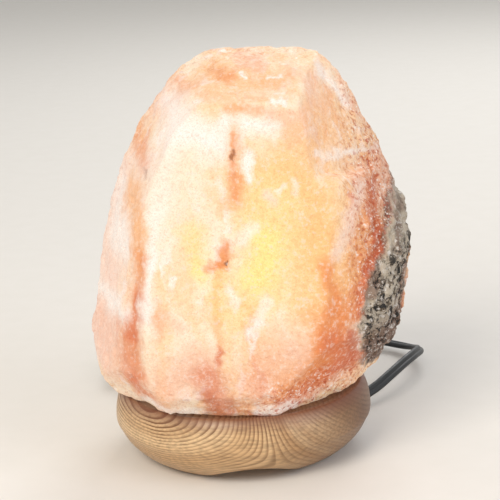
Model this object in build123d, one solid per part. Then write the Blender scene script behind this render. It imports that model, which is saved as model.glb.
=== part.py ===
from build123d import *
import os
from math import cos, dist, pi, radians, sin, sqrt, tan

# Salt crystal lamp. Millimetres, +Z up, +X right, +Y away from the viewer.
# The origin is on the axis of the turned wood base, at the level of the table.

# wood base, turned
sole_radius = 48.5
widest_radius = 69.5
widest_height = 22.0
crest_radius = 64.0
crest_rise = 2.0  # above the seat
lower_roundness = 1.56  # 2 is an ellipse, less is flatter
upper_roundness = 1.8
seat_radius = 58.0
seat_height = 35.5
base_hole_radius = 23.0
flange_recess_radius = 27.0
flange_recess_height = 12.0

# three arches under the base, which leave three feet
arch_count = 3
arch_bearing = 34.3  # the lead leaves under this one
arch_height = 9.7
arch_width = 54.0

# screws up through the feet into the crystal
foot_screw_circle = 40.0
foot_screw_radius = 2.1
foot_screw_length = 40.0
foot_screw_head_radius = 4.0
foot_screw_head_height = 3.0
foot_counterbore_radius = 4.6
foot_counterbore_depth = 8.0
cross_slot_width = 1.0
cross_slot_depth = 1.4

# crystal
crystal_half_width = 88.0
crystal_half_depth = 70.0
crystal_height = 180.0
crystal_bore_radius = 25.0
crystal_bore_depth = 110.5
crystal_bore_cone = 12.0

# lamp holder
flange_gap = 0.2
flange_radius = 26.0
flange_thickness = 2.0
holder_cap_radius = 15.0
holder_cap_wall = 2.4
holder_cap_bottom = 1.5
holder_height = 66.0
holder_wall = 2.4
lead_boss_reach = 17.0
lead_boss_width = 10.0
lead_exit_height = 5.0
insulator_length = 24.0
insulator_floor = 6.0
insulator_top_gap = 4.0
socket_radius = 6.1
socket_wall = 0.5
socket_length = 17.0
slip = 0.12  # clearance between pieces that screw, turn or slide in one another
contact_rivet_radius = 1.6
contact_disc_radius = 3.4
contact_disc_thickness = 0.6
terminal_screw_radius = 1.2
terminal_screw_head = 2.3
terminal_screw_thickness = 1.4
terminal_screw_spacing = 14.0
wire_radius = 1.0
wire_bow = 3.0
wire_entry_radius = 2.2

# spring clip of the holder
clip_thickness = 0.8
clip_width = 10.0
clip_band_bottom = 15.0
clip_band_height = 8.0
clip_reach = 22.0
clip_knee_height = 29.0
clip_tip_height = 47.0
clip_tip_reach = 18.5

# bulb, candelabra size
thread_pitch = 2.54
thread_depth = 0.45
bulb_cap_radius = 5.9
bulb_cap_wall = 0.4
bulb_cap_length = 14.5
bulb_tip_radius = 1.8
bulb_glass_radius = 11.0
bulb_glass_length = 42.0
bulb_neck_radius = 4.9
bulb_glass_wall = 0.6
bulb_glass_overlap = 1.0
stem_radius = 2.0
stem_length = 13.0
support_wire_radius = 0.3
support_wire_spread = 4.0
support_wire_length = 24.0
filament_radius = 0.35

# lead and its strain reliefs
lead_diameter = 6.2
relief_root_radius = 4.2
relief_tip_radius = 3.4
holder_relief_length = 20.0
dimmer_relief_length = 12.0
plug_relief_length = 20.0

# in-line dimmer
dimmer_centre = (32.2, 160.9)
dimmer_heading = 168.0  # the way the lead runs through it
dimmer_length = 56.0
dimmer_width = 28.0
dimmer_height = 20.0
dimmer_corner = 8.0
dimmer_edge = 2.0
dimmer_wall = 2.0
dimmer_parting = 10.4
parting_gap = 0.1
dimmer_lead_height = 5.5
dial_radius = 11.5
dial_recess_depth = 1.5
dial_rise = 4.0
dial_rib_count = 36
dial_rib_radius = 0.45
dial_gap = 0.4
shaft_radius = 3.0
shaft_flat = 1.0
running_gap = 0.05
board_thickness = 1.6
board_height = 5.0
board_margin = 1.0
pot_radius = 8.0
pot_height = 5.0
pot_offset = 0.0
triac_offset = -16.0
triac_size = (4.4, 10.0, 9.0)
capacitor_offset = 13.0
capacitor_radius = 4.5
capacitor_length = 13.0
dimmer_screw_offset = 21.5
dimmer_screw_radius = 1.25
dimmer_screw_head = 2.4
dimmer_screw_head_height = 1.6
dimmer_boss_radius = 3.0

# coil of lead put away behind the lamp
coil_centre = (-36.5, 126.75)
coil_turns = 6.5
coil_middle_radius = 33.5
coil_pitch = 7.0
coil_layer_height = 6.9
coil_floor = 0.9
tie_width = 8.0
tie_thickness = 0.6
tie_gap = 0.3
tie_bearing = 205.0

# plug, two flat blades
plug_start = 0.0
plug_height = 16.0
plug_width = 24.0
plug_length = 30.0
plug_corner = 5.0
plug_edge = 2.0
blade_spacing = 12.7
blade_thickness = 1.5
blade_length = 17.0
blade_root = 6.0
live_blade_width = 6.35
neutral_blade_width = 7.94
blade_hole_radius = 1.6

# The rough block is hewn to facets. Each has a point on it, in percent of the crystal's half width, half
# depth and height above the seat, the bearing that it faces, and how far it leans up (positive) or
# down (negative), in degrees.
crystal_facets = [
    ("front face", (0, -98.5, 24.5), -93, 14),
    ("front skirt", (0, -99.5, 14.5), -92, 1),
    ("front hem", (0, -86.5, 2), -92, -38),
    ("front left face", (-59, -85.5, 24.5), -141, 10),
    ("left face", (-83.5, 0, 36), -162, 10),
    ("left skirt", (-89.5, 0, 16), -168, -6),
    ("left hem", (-80.5, -11.5, 3), -165, -40),
    ("front left hem", (-60, -53, 2), -143, -36),
    ("left shoulder", (-72.5, 0, 58.5), -163, 17),
    ("upper left face", (-60, 0, 74.5), -158, 29),
    ("upper left slope", (-41, 0, 89), -152, 44),
    ("top left slope", (-20.5, 3, 96), -140, 62),
    ("top", (22.5, 14.5, 99.5), -97, 81),
    ("top front slope", (11.5, -43, 92.5), -94, 60),
    ("top back slope", (17, 31.5, 98.5), 86, 62),
    ("top right slope", (59, 5.5, 96), -8, 44),
    ("upper right face", (70.5, 3, 88.5), -22, 24),
    ("right shoulder", (80.5, 0, 78), -30, 26),
    ("right brow", (99, 0, 61), -12, 22),
    ("right face", (105.5, 3, 48), -14, 4),
    ("front right face", (70.5, -71.5, 41.5), -50, 6),
    ("right skirt", (102.5, 3, 29), -18, -12),
    ("right hem", (92, 0, 11.5), -24, -30),
    ("front right hem", (52.5, -50, 2), -48, -34),
    ("back right hem", (57, 54.5, 2.5), 34, -40),
    ("back right face", (104.5, 11.5, 42.5), 38, 3),
    ("back right brow", (95.5, 11.5, 63.5), 34, 18),
    ("back right shoulder", (77.5, 11.5, 80.5), 40, 26),
    ("back right slope", (57, 17, 94.5), 44, 46),
    ("back face", (0, 94.5, 30.5), 92, 9),
    ("back hem", (0, 84.5, 2.5), 90, -36),
    ("back left skirt", (-88.5, 8.5, 14.5), 158, -4),
    ("back left face", (-83, 8.5, 36), 150, 10),
    ("back left shoulder", (-70.5, 11.5, 60.5), 148, 20),
    ("back left slope", (-52.5, 14.5, 80.5), 146, 36),
    ("back left hem", (-57, 57, 2.5), 140, -38),
]
underside_bevel = 13.0  # degrees, all round the flat sole of the crystal
underside_flat_radius = 50.0

# a ledge high on the right side: above the shelf, the side is set back to the wall
ledge_shelf = ((95.5, 0, 66), -30, 72)
ledge_wall = ((93, 0, 66), -38, 16)

# The lead from the holder to the dimmer, between its straight ends: out under the arch, up in a low
# hump, down to the table and round behind the lamp.
lead_straight = 16.0
lamp_lead_route = [
    (60.0, 41.4, 4.6),
    (75.4, 54.0, 7.4),
    (86.4, 67.0, 11.4),
    (96.4, 82.2, 13.8),
    (104.5, 97.2, 13.9),
    (109.2, 111.0, 11.6),
    (107.9, 126.4, 7.4),
    (100.4, 139.6, 4.9),
]


def place(shape, x=0.0, y=0.0, z=0.0, turn=0.0):
    return Location((x, y, z), (0, 0, turn)) * shape


def ring(outer, inner, height, bottom):
    """A tube that stands at bottom."""
    wall = Cylinder(outer, height) - Cylinder(inner, height)
    return place(wall, z=bottom + height / 2)


def rod(radius, height, bottom):
    return place(Cylinder(radius, height), z=bottom + height / 2)


def turned(points):
    """A solid of revolution from a closed outline of (radius, height) points."""
    outline = Polyline(*[(r, 0, z) for r, z in points], close=True)
    return revolve(make_face(outline), Axis.Z, 360)


def bearing_vector(bearing, lean=0.0):
    across = cos(radians(lean))
    return Vector(across * cos(radians(bearing)), across * sin(radians(bearing)), sin(radians(lean)))


# ---- wood base ----

crest_height = seat_height + crest_rise
arch_radius = (arch_width**2 / 4 + arch_height**2) / (2 * arch_height)
arch_bearings = [arch_bearing + i * 360 / arch_count for i in range(arch_count)]
foot_bearings = [bearing + 180 / arch_count for bearing in arch_bearings]


def base_curve(start_radius, start_height, end_radius, end_height, roundness, from_sole):
    """Points of one quarter of the turned side, between the sole or the crest and the widest line."""
    points = []
    for step in range(7):
        angle = radians(15 * step)
        run = sin(angle) ** (2 / roundness)
        rise = 1 - cos(angle) ** (2 / roundness) if cos(angle) > 1e-9 else 1.0
        if not from_sole:
            run, rise = 1 - rise, run
            radius = end_radius + (start_radius - end_radius) * run
        else:
            radius = start_radius + (end_radius - start_radius) * run
        points.append((radius, 0, start_height + (end_height - start_height) * rise))
    return points


def make_wood_base():
    lower = base_curve(sole_radius, 0, widest_radius, widest_height, lower_roundness, True)
    upper = base_curve(widest_radius, widest_height, crest_radius, crest_height, upper_roundness, False)
    roll_height = (crest_height + seat_height) / 2 + 0.4
    roll_radius = (crest_radius + seat_radius) / 2
    edges = [
        Spline(*lower, tangents=[(1, 0, 0.05), (0, 0, 1)]),
        Spline(*upper, tangents=[(0, 0, 1), (-1, 0, 0)]),
        ThreePointArc((crest_radius, 0, crest_height), (roll_radius, 0, roll_height), (seat_radius, 0, seat_height)),
        Line((seat_radius, 0, seat_height), (base_hole_radius, 0, seat_height)),
        Line((base_hole_radius, 0, seat_height), (base_hole_radius, 0, flange_recess_height)),
        Line((base_hole_radius, 0, flange_recess_height), (flange_recess_radius, 0, flange_recess_height)),
        Line((flange_recess_radius, 0, flange_recess_height), (flange_recess_radius, 0, 0)),
        Line((flange_recess_radius, 0, 0), (sole_radius, 0, 0)),
    ]
    base = revolve(make_face(edges), Axis.Z, 360)
    reach = widest_radius + 10
    tunnel = Cylinder(arch_radius, reach, rotation=(0, 90, 0))
    for bearing in arch_bearings:
        base -= Rotation(0, 0, bearing) * place(tunnel, x=reach / 2, z=arch_height - arch_radius)
    for bearing in foot_bearings:
        spot = bearing_vector(bearing) * foot_screw_circle
        base -= place(rod(foot_screw_radius + running_gap, 2 * crest_height, 0), spot.X, spot.Y)
        base -= place(rod(foot_counterbore_radius, foot_counterbore_depth, 0), spot.X, spot.Y)
    return base


def make_base_screws():
    screw = rod(foot_screw_head_radius, foot_screw_head_height, foot_counterbore_depth - foot_screw_head_height)
    screw += rod(foot_screw_radius, foot_screw_length, foot_counterbore_depth)
    slot_length = 1.3 * foot_screw_head_radius
    slot = Box(slot_length, cross_slot_width, cross_slot_depth) + Box(cross_slot_width, slot_length, cross_slot_depth)
    head_bottom = foot_counterbore_depth - foot_screw_head_height
    screw -= place(slot, z=head_bottom + cross_slot_depth / 2)
    spots = [bearing_vector(bearing) * foot_screw_circle for bearing in foot_bearings]
    return Compound([place(screw, spot.X, spot.Y) for spot in spots])


# ---- crystal ----

def facet_plane(share, bearing, lean):
    x = crystal_half_width * share[0] / 100
    y = crystal_half_depth * share[1] / 100
    z = seat_height + crystal_height * share[2] / 100
    return Plane(origin=(x, y, z), z_dir=bearing_vector(bearing, lean))


def make_salt_crystal():
    across = 3 * max(crystal_half_width, crystal_half_depth)
    block = place(Box(across, across, 2 * crystal_height), z=seat_height + crystal_height)
    for _, share, bearing, lean in crystal_facets:
        block = split(block, bisect_by=facet_plane(share, bearing, lean), keep=Keep.BOTTOM)
    for bearing in range(0, 360, 30):
        toe = bearing_vector(bearing) * underside_flat_radius
        bevel = Plane(origin=(toe.X, toe.Y, seat_height), z_dir=bearing_vector(bearing, underside_bevel - 90))
        block = split(block, bisect_by=bevel, keep=Keep.BOTTOM)
    set_back = Box(across, across, 4 * crystal_height)
    for share, bearing, lean in (ledge_shelf, ledge_wall):
        set_back = split(set_back, bisect_by=facet_plane(share, bearing, lean), keep=Keep.TOP)
    block -= set_back
    bore = rod(crystal_bore_radius, crystal_bore_depth, seat_height)
    cone = Cone(crystal_bore_radius, 1.0, crystal_bore_cone)
    bore += place(cone, z=seat_height + crystal_bore_depth + crystal_bore_cone / 2)
    block -= bore
    pilot_depth = foot_counterbore_depth + foot_screw_length + 1.0
    for bearing in foot_bearings:
        spot = bearing_vector(bearing) * foot_screw_circle
        block -= place(rod(foot_screw_radius + running_gap, pilot_depth, 0), spot.X, spot.Y)
    return block


# ---- lamp holder ----

flange_top = flange_recess_height - flange_gap
flange_bottom = flange_top - flange_thickness
shell_inner_radius = holder_cap_radius - holder_wall
holder_top = flange_top + holder_height
insulator_top = holder_top - insulator_top_gap
insulator_bottom = insulator_top - insulator_length
socket_bottom = insulator_bottom + insulator_floor
socket_outer_radius = socket_radius + thread_depth + socket_wall
insulator_bore_radius = socket_outer_radius + slip
lead_direction = bearing_vector(arch_bearing)


def along_lead(reach, height=lead_exit_height):
    return (lead_direction.X * reach, lead_direction.Y * reach, height)


def make_holder_cap():
    cap = rod(holder_cap_radius, flange_bottom - holder_cap_bottom, holder_cap_bottom)
    boss_height = flange_bottom - holder_cap_bottom
    boss = Box(lead_boss_reach, lead_boss_width, boss_height)
    boss = place(boss, x=lead_boss_reach / 2, z=holder_cap_bottom + boss_height / 2)
    cap += Rotation(0, 0, arch_bearing) * boss
    cap += rod(flange_radius, flange_thickness, flange_bottom)
    cap -= rod(shell_inner_radius, flange_top - holder_cap_bottom - holder_cap_wall, holder_cap_bottom + holder_cap_wall)
    entry = Cylinder(wire_entry_radius, lead_boss_reach, rotation=(0, 90, 0))
    cap -= Rotation(0, 0, arch_bearing) * place(entry, x=lead_boss_reach / 2, z=lead_exit_height)
    return cap


def make_holder_shell():
    return ring(holder_cap_radius, shell_inner_radius, holder_height, flange_top)


def make_socket_insulator():
    cup = rod(shell_inner_radius - slip, insulator_length, insulator_bottom)
    cup -= rod(insulator_bore_radius, insulator_length - insulator_floor, socket_bottom)
    cup -= rod(contact_rivet_radius + slip, insulator_floor, insulator_bottom)
    for side in (-1, 1):
        x = side * terminal_screw_spacing / 2
        cup -= place(rod(terminal_screw_radius + slip, insulator_floor, insulator_bottom), x=x)
    return cup


def threaded(outer, depth, length, bottom, inner):
    """A thin rolled shell whose ridges stand one pitch apart."""
    ridges = int(length / thread_pitch)
    outside = [(outer - depth, bottom)]
    for i in range(ridges):
        low = bottom + i * thread_pitch
        outside.append((outer - depth, low + 0.2 * thread_pitch))
        outside.append((outer, low + 0.5 * thread_pitch))
        outside.append((outer - depth, low + 0.8 * thread_pitch))
    outside.append((outer - depth, bottom + length))
    return turned(outside + [(inner, bottom + length), (inner, bottom)])


def make_socket_shell():
    inside = socket_radius - thread_depth
    tube = ring(socket_outer_radius, inside, socket_length, socket_bottom)
    for i in range(int(socket_length / thread_pitch)):
        low = socket_bottom + i * thread_pitch
        start, middle, end = [low + share * thread_pitch for share in (0.1, 0.5, 0.9)]
        tube -= turned([(inside - 1, start), (inside, start), (socket_radius, middle), (inside, end), (inside - 1, end)])
    return tube


def make_centre_contact():
    contact = rod(contact_rivet_radius, insulator_floor + 2, insulator_bottom - 2)
    contact += rod(contact_disc_radius, contact_disc_thickness, socket_bottom)
    return contact


def make_terminal_screws():
    screw = rod(terminal_screw_head, terminal_screw_thickness, insulator_bottom - terminal_screw_thickness)
    screw += rod(terminal_screw_radius, insulator_floor - 1, insulator_bottom)
    screw -= place(Box(2 * terminal_screw_head, 0.6, 0.6), z=insulator_bottom - terminal_screw_thickness)
    return Compound([place(screw, x=side * terminal_screw_spacing / 2) for side in (-1, 1)])


def make_spring_clip():
    band = ring(holder_cap_radius + slip + clip_thickness, holder_cap_radius + slip, clip_band_height, clip_band_bottom)
    band_radius = holder_cap_radius + slip
    knee, tip = clip_reach, clip_tip_reach
    foot = clip_band_bottom + clip_band_height
    leaf = [
        (band_radius + 0.1, 0, foot - 3),
        (band_radius + 0.1, 0, foot),
        (knee - clip_thickness, 0, clip_knee_height),
        (tip - clip_thickness, 0, clip_tip_height),
        (tip, 0, clip_tip_height),
        (knee, 0, clip_knee_height),
        (band_radius + clip_thickness, 0, foot - 1),
        (band_radius + clip_thickness, 0, foot - 3),
    ]
    arm = extrude(make_face(Polyline(*leaf, close=True)), amount=clip_width / 2, both=True)
    return band + arm + Rotation(0, 0, 180) * arm


# ---- leads ----

def lead_tube(name, points, radius):
    """Straight runs joined by tangent arcs, each arc as large as its two runs allow."""
    points = [Vector(*point) for point in points]
    radii = []
    for before, corner, after in zip(points, points[1:], points[2:]):
        turn = (corner - before).get_angle(after - corner)
        shorter = min((corner - before).length, (after - corner).length)
        radii.append(0.45 * shorter / tan(radians(turn) / 2))
    path = FilletPolyline(*points, radius=radii)
    tube = sweep(Plane(origin=path @ 0, z_dir=path % 0) * Circle(radius), path=path)
    section = pi * radius**2
    print(name, "radii", [round(r) for r in radii], "length", round(path.length, 1))
    print(name, "volume", round(tube.volume), "section x length", round(section * path.length))
    return tube


def tapered(length, root_radius, tip_radius, ribs=0):
    """A strain relief along +X, root at the origin, with turned grooves."""
    body = Rotation(0, 90, 0) * place(Cone(root_radius, tip_radius, length), z=length / 2)
    for i in range(ribs):
        x = length * (i + 1) / (ribs + 1)
        outer = root_radius + (tip_radius - root_radius) * x / length
        groove = Rotation(0, 90, 0) * place(Cylinder(outer + 1, 0.9) - Cylinder(outer - 0.5, 0.9), z=x)
        body -= groove
    return body


def make_holder_strain_relief():
    relief = place(tapered(holder_relief_length, relief_root_radius, relief_tip_radius, 4), x=lead_boss_reach)
    return Location((0, 0, lead_exit_height)) * (Rotation(0, 0, arch_bearing) * relief)


def make_holder_wires():
    wires = []
    rest = holder_cap_bottom + holder_cap_wall + wire_radius + parting_gap
    rise = insulator_bottom - terminal_screw_thickness - rest
    for side in (-1, 1):
        x = side * terminal_screw_spacing / 2
        bow = side * wire_bow
        points = [(x / 2, bow, rest), (x, bow * 0.7, rest + 0.3 * rise), (x, 0, rest + 0.65 * rise), (x, 0, rest + rise)]
        wires.append(lead_tube("holder_wire", points, wire_radius))
    return Compound(wires)


# ---- in-line dimmer ----

dimmer_axis = bearing_vector(dimmer_heading)


def on_dimmer(shape):
    """Moves a shape made along +X, on the table, to the dimmer's place."""
    return place(shape, dimmer_centre[0], dimmer_centre[1], 0, dimmer_heading)


def dimmer_end(side, further=0.0):
    """The tip of the strain relief, or a point past it: side is -1 where the lead comes in, 1 where it leaves."""
    reach = side * (dimmer_length / 2 + dimmer_relief_length + further)
    x = dimmer_centre[0] + dimmer_axis.X * reach
    y = dimmer_centre[1] + dimmer_axis.Y * reach
    return (x, y, dimmer_lead_height)


def dimmer_block(length, width, corner, bottom, top, edge=0.0):
    block = extrude(RectangleRounded(length, width, corner), amount=top - bottom)
    if edge:
        block = fillet(block.faces().sort_by(Axis.Z)[-1].edges(), edge)
        block = fillet(block.faces().sort_by(Axis.Z)[0].edges(), edge)
    return place(block, z=bottom)


def dimmer_outside():
    return dimmer_block(dimmer_length, dimmer_width, dimmer_corner, 0, dimmer_height, dimmer_edge)


def dimmer_inside():
    length = dimmer_length - 2 * dimmer_wall
    width = dimmer_width - 2 * dimmer_wall
    return dimmer_block(length, width, dimmer_corner - dimmer_wall, dimmer_wall, dimmer_height - dimmer_wall)


def screw_spots():
    return [(side * dimmer_screw_offset, 0) for side in (-1, 1)]


dial_floor = dimmer_height - dial_recess_depth
board_top = board_height + board_thickness


def make_dimmer_bottom_cover():
    half = dimmer_outside() - dimmer_inside()
    half = split(half, bisect_by=Plane(origin=(0, 0, dimmer_parting)), keep=Keep.BOTTOM)
    half -= place(Cylinder(wire_entry_radius, 2 * dimmer_length, rotation=(0, 90, 0)), z=dimmer_lead_height)
    for x, y in screw_spots():
        half += place(rod(dimmer_boss_radius, board_height - dimmer_wall, dimmer_wall), x, y)
        half -= place(rod(dimmer_screw_radius + running_gap, board_height, 0), x, y)
        half -= place(rod(dimmer_screw_head + slip, dimmer_screw_head_height, 0), x, y)
    return on_dimmer(half)


def make_dimmer_top_cover():
    half = dimmer_outside() - dimmer_inside()
    half = split(half, bisect_by=Plane(origin=(0, 0, dimmer_parting + parting_gap)), keep=Keep.TOP)
    half -= rod(dial_radius + dial_gap, dial_recess_depth, dial_floor)
    half -= rod(shaft_radius + dial_gap, dimmer_height, 0)
    boss_bottom = board_top + parting_gap
    for x, y in screw_spots():
        boss = place(rod(dimmer_boss_radius, dimmer_height - dimmer_wall - boss_bottom, boss_bottom), x, y)
        half += boss - place(rod(dimmer_screw_radius + running_gap, 9, boss_bottom), x, y)
    return on_dimmer(half)


def make_dimmer_circuit_board():
    length = dimmer_length - 2 * dimmer_wall - 2 * board_margin
    width = dimmer_width - 2 * dimmer_wall - 2 * board_margin
    board = dimmer_block(length, width, dimmer_corner - dimmer_wall - board_margin, board_height, board_top)
    for x, y in screw_spots():
        board -= place(rod(dimmer_screw_radius + running_gap, board_thickness, board_height), x, y)
    return on_dimmer(board)


def make_dimmer_potentiometer():
    pot = rod(pot_radius, pot_height, board_top)
    pot -= place(rod(shaft_radius + running_gap, pot_height, board_top + 1), x=pot_offset)
    return on_dimmer(pot)


def make_dimmer_triac():
    length, width, height = triac_size
    slab = place(Box(length, width, height), x=triac_offset, z=board_top + height / 2)
    tab_hole = Cylinder(1.4, 2 * length, rotation=(0, 90, 0))
    return on_dimmer(slab - place(tab_hole, x=triac_offset, z=board_top + height - 2.2))


def make_dimmer_capacitor():
    can = Cylinder(capacitor_radius, capacitor_length, rotation=(90, 0, 0))
    can = place(can, x=capacitor_offset, z=board_top + capacitor_radius)
    return on_dimmer(can)


def make_dimmer_screws():
    length = board_top + 6
    screw = rod(dimmer_screw_head, dimmer_screw_head_height, 0) + rod(dimmer_screw_radius, length, 0)
    screw -= Box(1.2 * dimmer_screw_head, 0.7, 1.2) + Box(0.7, 1.2 * dimmer_screw_head, 1.2)
    return Compound([on_dimmer(place(screw, x, y)) for x, y in screw_spots()])


def make_dimmer_dial():
    bottom = dial_floor + parting_gap
    top = dimmer_height + dial_rise
    dial = rod(dial_radius - dial_rib_radius, top - bottom, bottom)
    dial = fillet(dial.faces().sort_by(Axis.Z)[-1].edges(), 0.8)
    for i in range(dial_rib_count):
        spot = bearing_vector(i * 360 / dial_rib_count) * (dial_radius - dial_rib_radius)
        dial += place(rod(dial_rib_radius, top - bottom - 1.2, bottom), spot.X, spot.Y)
    dial -= rod(shaft_radius + running_gap, top - bottom - 1.6, bottom)
    dial -= place(Box(dial_radius * 0.5, 1.0, 0.8), x=dial_radius * 0.62, z=top)
    return on_dimmer(dial)


def make_dimmer_shaft():
    bottom = board_top + 1.2
    top = dimmer_height + dial_rise - 1.7
    shaft = rod(shaft_radius, top - bottom, bottom)
    shaft -= place(Box(2 * shaft_radius, 2 * shaft_radius, 4), x=2 * shaft_radius - shaft_flat, z=top - 2)
    return on_dimmer(shaft)


def make_dimmer_strain_reliefs():
    relief = tapered(dimmer_relief_length, relief_root_radius, relief_tip_radius, 3)
    relief = place(relief, x=dimmer_length / 2, z=dimmer_lead_height)
    return Compound([on_dimmer(relief), on_dimmer(Rotation(0, 0, 180) * relief)])


# ---- coil ----

coil_low = coil_floor + lead_diameter / 2
coil_full_turn = coil_turns / 2  # the spiral reverses here, after this many turns
coil_start_radius = coil_middle_radius + coil_pitch * coil_full_turn / 2


def coil_point(turn):
    """A point of the coil's middle line after so many turns: in on the floor, then out on top."""
    away = turn - coil_full_turn
    if abs(away) < 0.25:
        drawn = coil_full_turn - (away**2 / 0.5 + 0.125)
    else:
        drawn = coil_full_turn - abs(away)
    radius = coil_start_radius - coil_pitch * drawn
    climb = min(max(away / 0.5 + 0.5, 0.0), 1.0)
    height = coil_low + coil_layer_height * (3 * climb**2 - 2 * climb**3)
    angle = radians(90 + 360 * turn)
    return Vector(coil_centre[0] + radius * cos(angle), coil_centre[1] + radius * sin(angle), height)


def coil_tangent(turn):
    step = 0.0005
    if turn < step or turn > coil_turns - step:
        angle = radians(90 + 360 * turn)
        return Vector(-sin(angle), cos(angle), 0)
    return (coil_point(turn + step) - coil_point(turn - step)).normalized()


def biarc(start, start_way, end, end_way):
    """Two arcs that leave start along start_way, meet smoothly and reach end along end_way."""
    gap = end - start
    ways = start_way + end_way
    a = 2 * (1 - start_way.dot(end_way))
    b = 2 * gap.dot(ways)
    c = -gap.dot(gap)
    reach = (-b + sqrt(b * b - 4 * a * c)) / (2 * a) if abs(a) > 1e-9 else -c / b
    leave = start + start_way * reach
    arrive = end - end_way * reach
    joint = (leave + arrive) * 0.5
    return [TangentArc(start, joint, tangent=start_way), TangentArc(joint, end, tangent=arrive - leave)]


def least_gap(samples, count_apart, diameter):
    least = 1e9
    for i, a in enumerate(samples):
        for b in samples[i + count_apart:]:
            least = min(least, dist(a, b))
    return least - diameter


def make_mains_coil():
    quarter = 0.25
    steps = int(coil_turns / quarter)
    edges = []
    for i in range(steps):
        here, there = i * quarter, (i + 1) * quarter
        edges += biarc(coil_point(here), coil_tangent(here), coil_point(there), coil_tangent(there))
    first, last = coil_point(0), coil_point(coil_turns)
    edges.insert(0, Line(first - coil_tangent(0) * lead_diameter, first))
    edges.append(Line(last, last + coil_tangent(coil_turns) * lead_diameter))
    path = Wire(edges)
    section = Plane(origin=path @ 0, z_dir=path % 0) * Circle(lead_diameter / 2)
    tube = sweep(section, path=path)
    samples = [tuple(coil_point(i / 48)) for i in range(int(48 * coil_turns) + 1)]
    print("mains_coil length", round(path.length, 1), "least gap", round(least_gap(samples, 24, lead_diameter), 2))
    print("mains_coil volume", round(tube.volume), "section x length", round(pi * lead_diameter**2 / 4 * path.length))
    return tube


def coil_end(last):
    turn = coil_turns if last else 0
    way = coil_tangent(turn) * (lead_diameter if last else -lead_diameter)
    return tuple(coil_point(turn) + way)


def make_coil_tie():
    inner = coil_middle_radius - coil_pitch * coil_full_turn / 2 - lead_diameter / 2 - tie_gap
    outer = coil_start_radius + lead_diameter / 2 + tie_gap
    low = coil_floor - tie_gap
    high = coil_low + coil_layer_height + lead_diameter / 2 + tie_gap
    hole = place(Box(outer - inner, 2 * tie_width, high - low), x=(outer + inner) / 2, z=(high + low) / 2)
    length = outer - inner + 2 * tie_thickness
    height = high - low + 2 * tie_thickness
    band = place(Box(length, tie_width, height), x=(outer + inner) / 2, z=(high + low) / 2)
    return place(band - hole, coil_centre[0], coil_centre[1], 0, tie_bearing)


# ---- plug ----

plug_y = coil_centre[1] - coil_start_radius
plug_z = plug_height / 2
body_start = plug_start + plug_relief_length
plug_front = body_start + plug_length


def make_plug_strain_relief():
    relief = Rotation(0, 0, 180) * tapered(plug_relief_length, relief_root_radius + 0.8, relief_tip_radius, 5)
    return place(relief, body_start, plug_y, plug_z)


def make_plug_body():
    body = extrude(Plane.YZ * RectangleRounded(plug_width, plug_height, plug_corner), amount=plug_length)
    body = fillet(body.faces().sort_by(Axis.X)[0].edges(), plug_edge)
    body = fillet(body.faces().sort_by(Axis.X)[-1].edges(), 0.8)
    for side, width in ((-1, live_blade_width), (1, neutral_blade_width)):
        slot = Box(blade_root, blade_thickness, width)
        body -= place(slot, x=plug_length - blade_root / 2, y=side * blade_spacing / 2)
    return place(body, body_start, plug_y, plug_z)


def make_blade(side, width):
    length = blade_length + blade_root
    blade = Box(length, blade_thickness, width)
    blade = chamfer(blade.faces().sort_by(Axis.X)[-1].edges(), 0.5)
    blade -= place(Cylinder(blade_hole_radius, 10, rotation=(90, 0, 0)), x=length / 2 - 4)
    return place(blade, plug_front - blade_root + length / 2, plug_y + side * blade_spacing / 2, plug_z)


def plug_lead_route():
    start = coil_end(True)
    run = (plug_start - start[0]) / 3
    return [start, (start[0] + run, start[1], start[2]), (plug_start - run, plug_y, plug_z), (plug_start, plug_y, plug_z)]


def dimmer_lead_route():
    end = coil_end(False)
    return [dimmer_end(1), dimmer_end(1, 7.5), (end[0] + 8.0, end[1], end[2]), end]


# ---- bulb ----

bulb_cap_bottom = socket_bottom + contact_disc_thickness + 2.2
bulb_cap_top = bulb_cap_bottom + bulb_cap_length
glass_bottom = bulb_cap_top - bulb_glass_overlap


def make_bulb_cap():
    inner = bulb_cap_radius - thread_depth - bulb_cap_wall
    return threaded(bulb_cap_radius, thread_depth, bulb_cap_length, bulb_cap_bottom, inner)


def make_bulb_insulator():
    wide = bulb_cap_radius - thread_depth - bulb_cap_wall
    low = bulb_cap_bottom - 1.6
    outline = [(0, bulb_cap_bottom + 1.5), (wide, bulb_cap_bottom + 1.5), (wide, bulb_cap_bottom), (2.4, low), (0, low)]
    return turned(outline)


def make_bulb_tip_contact():
    tip = Sphere(bulb_tip_radius)
    tip = split(tip, bisect_by=Plane.XY, keep=Keep.BOTTOM)
    tip = scale(tip, (1, 1, 0.3))
    return place(tip, z=bulb_cap_bottom - 1.6)


def glass_profile(inset):
    """The bulb's side from the neck to the rounded tip, drawn in by the wall."""
    tip = glass_bottom + bulb_glass_length - inset
    wide = bulb_glass_radius - inset
    neck = bulb_neck_radius - inset
    points = [
        (neck, 0, glass_bottom),
        (neck + 0.2, 0, glass_bottom + 3),
        (wide, 0, glass_bottom + 0.42 * bulb_glass_length),
        (0.72 * wide, 0, glass_bottom + 0.76 * bulb_glass_length),
        (0, 0, tip),
    ]
    return Spline(*points, tangents=[(0, 0, 1), (-1, 0, 0)])


def make_bulb_glass():
    outer, inner = glass_profile(0), glass_profile(bulb_glass_wall)
    rim = Line(inner @ 0, outer @ 0)
    crown = Line(outer @ 1, inner @ 1)
    return revolve(make_face([outer, crown, inner, rim]), Axis.Z, 360)


def make_bulb_stem():
    flare = Cone(bulb_neck_radius - bulb_glass_wall - 0.35, stem_radius, 4)
    return place(flare, z=glass_bottom + 2) + rod(stem_radius, stem_length - 4, glass_bottom + 4)


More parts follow.
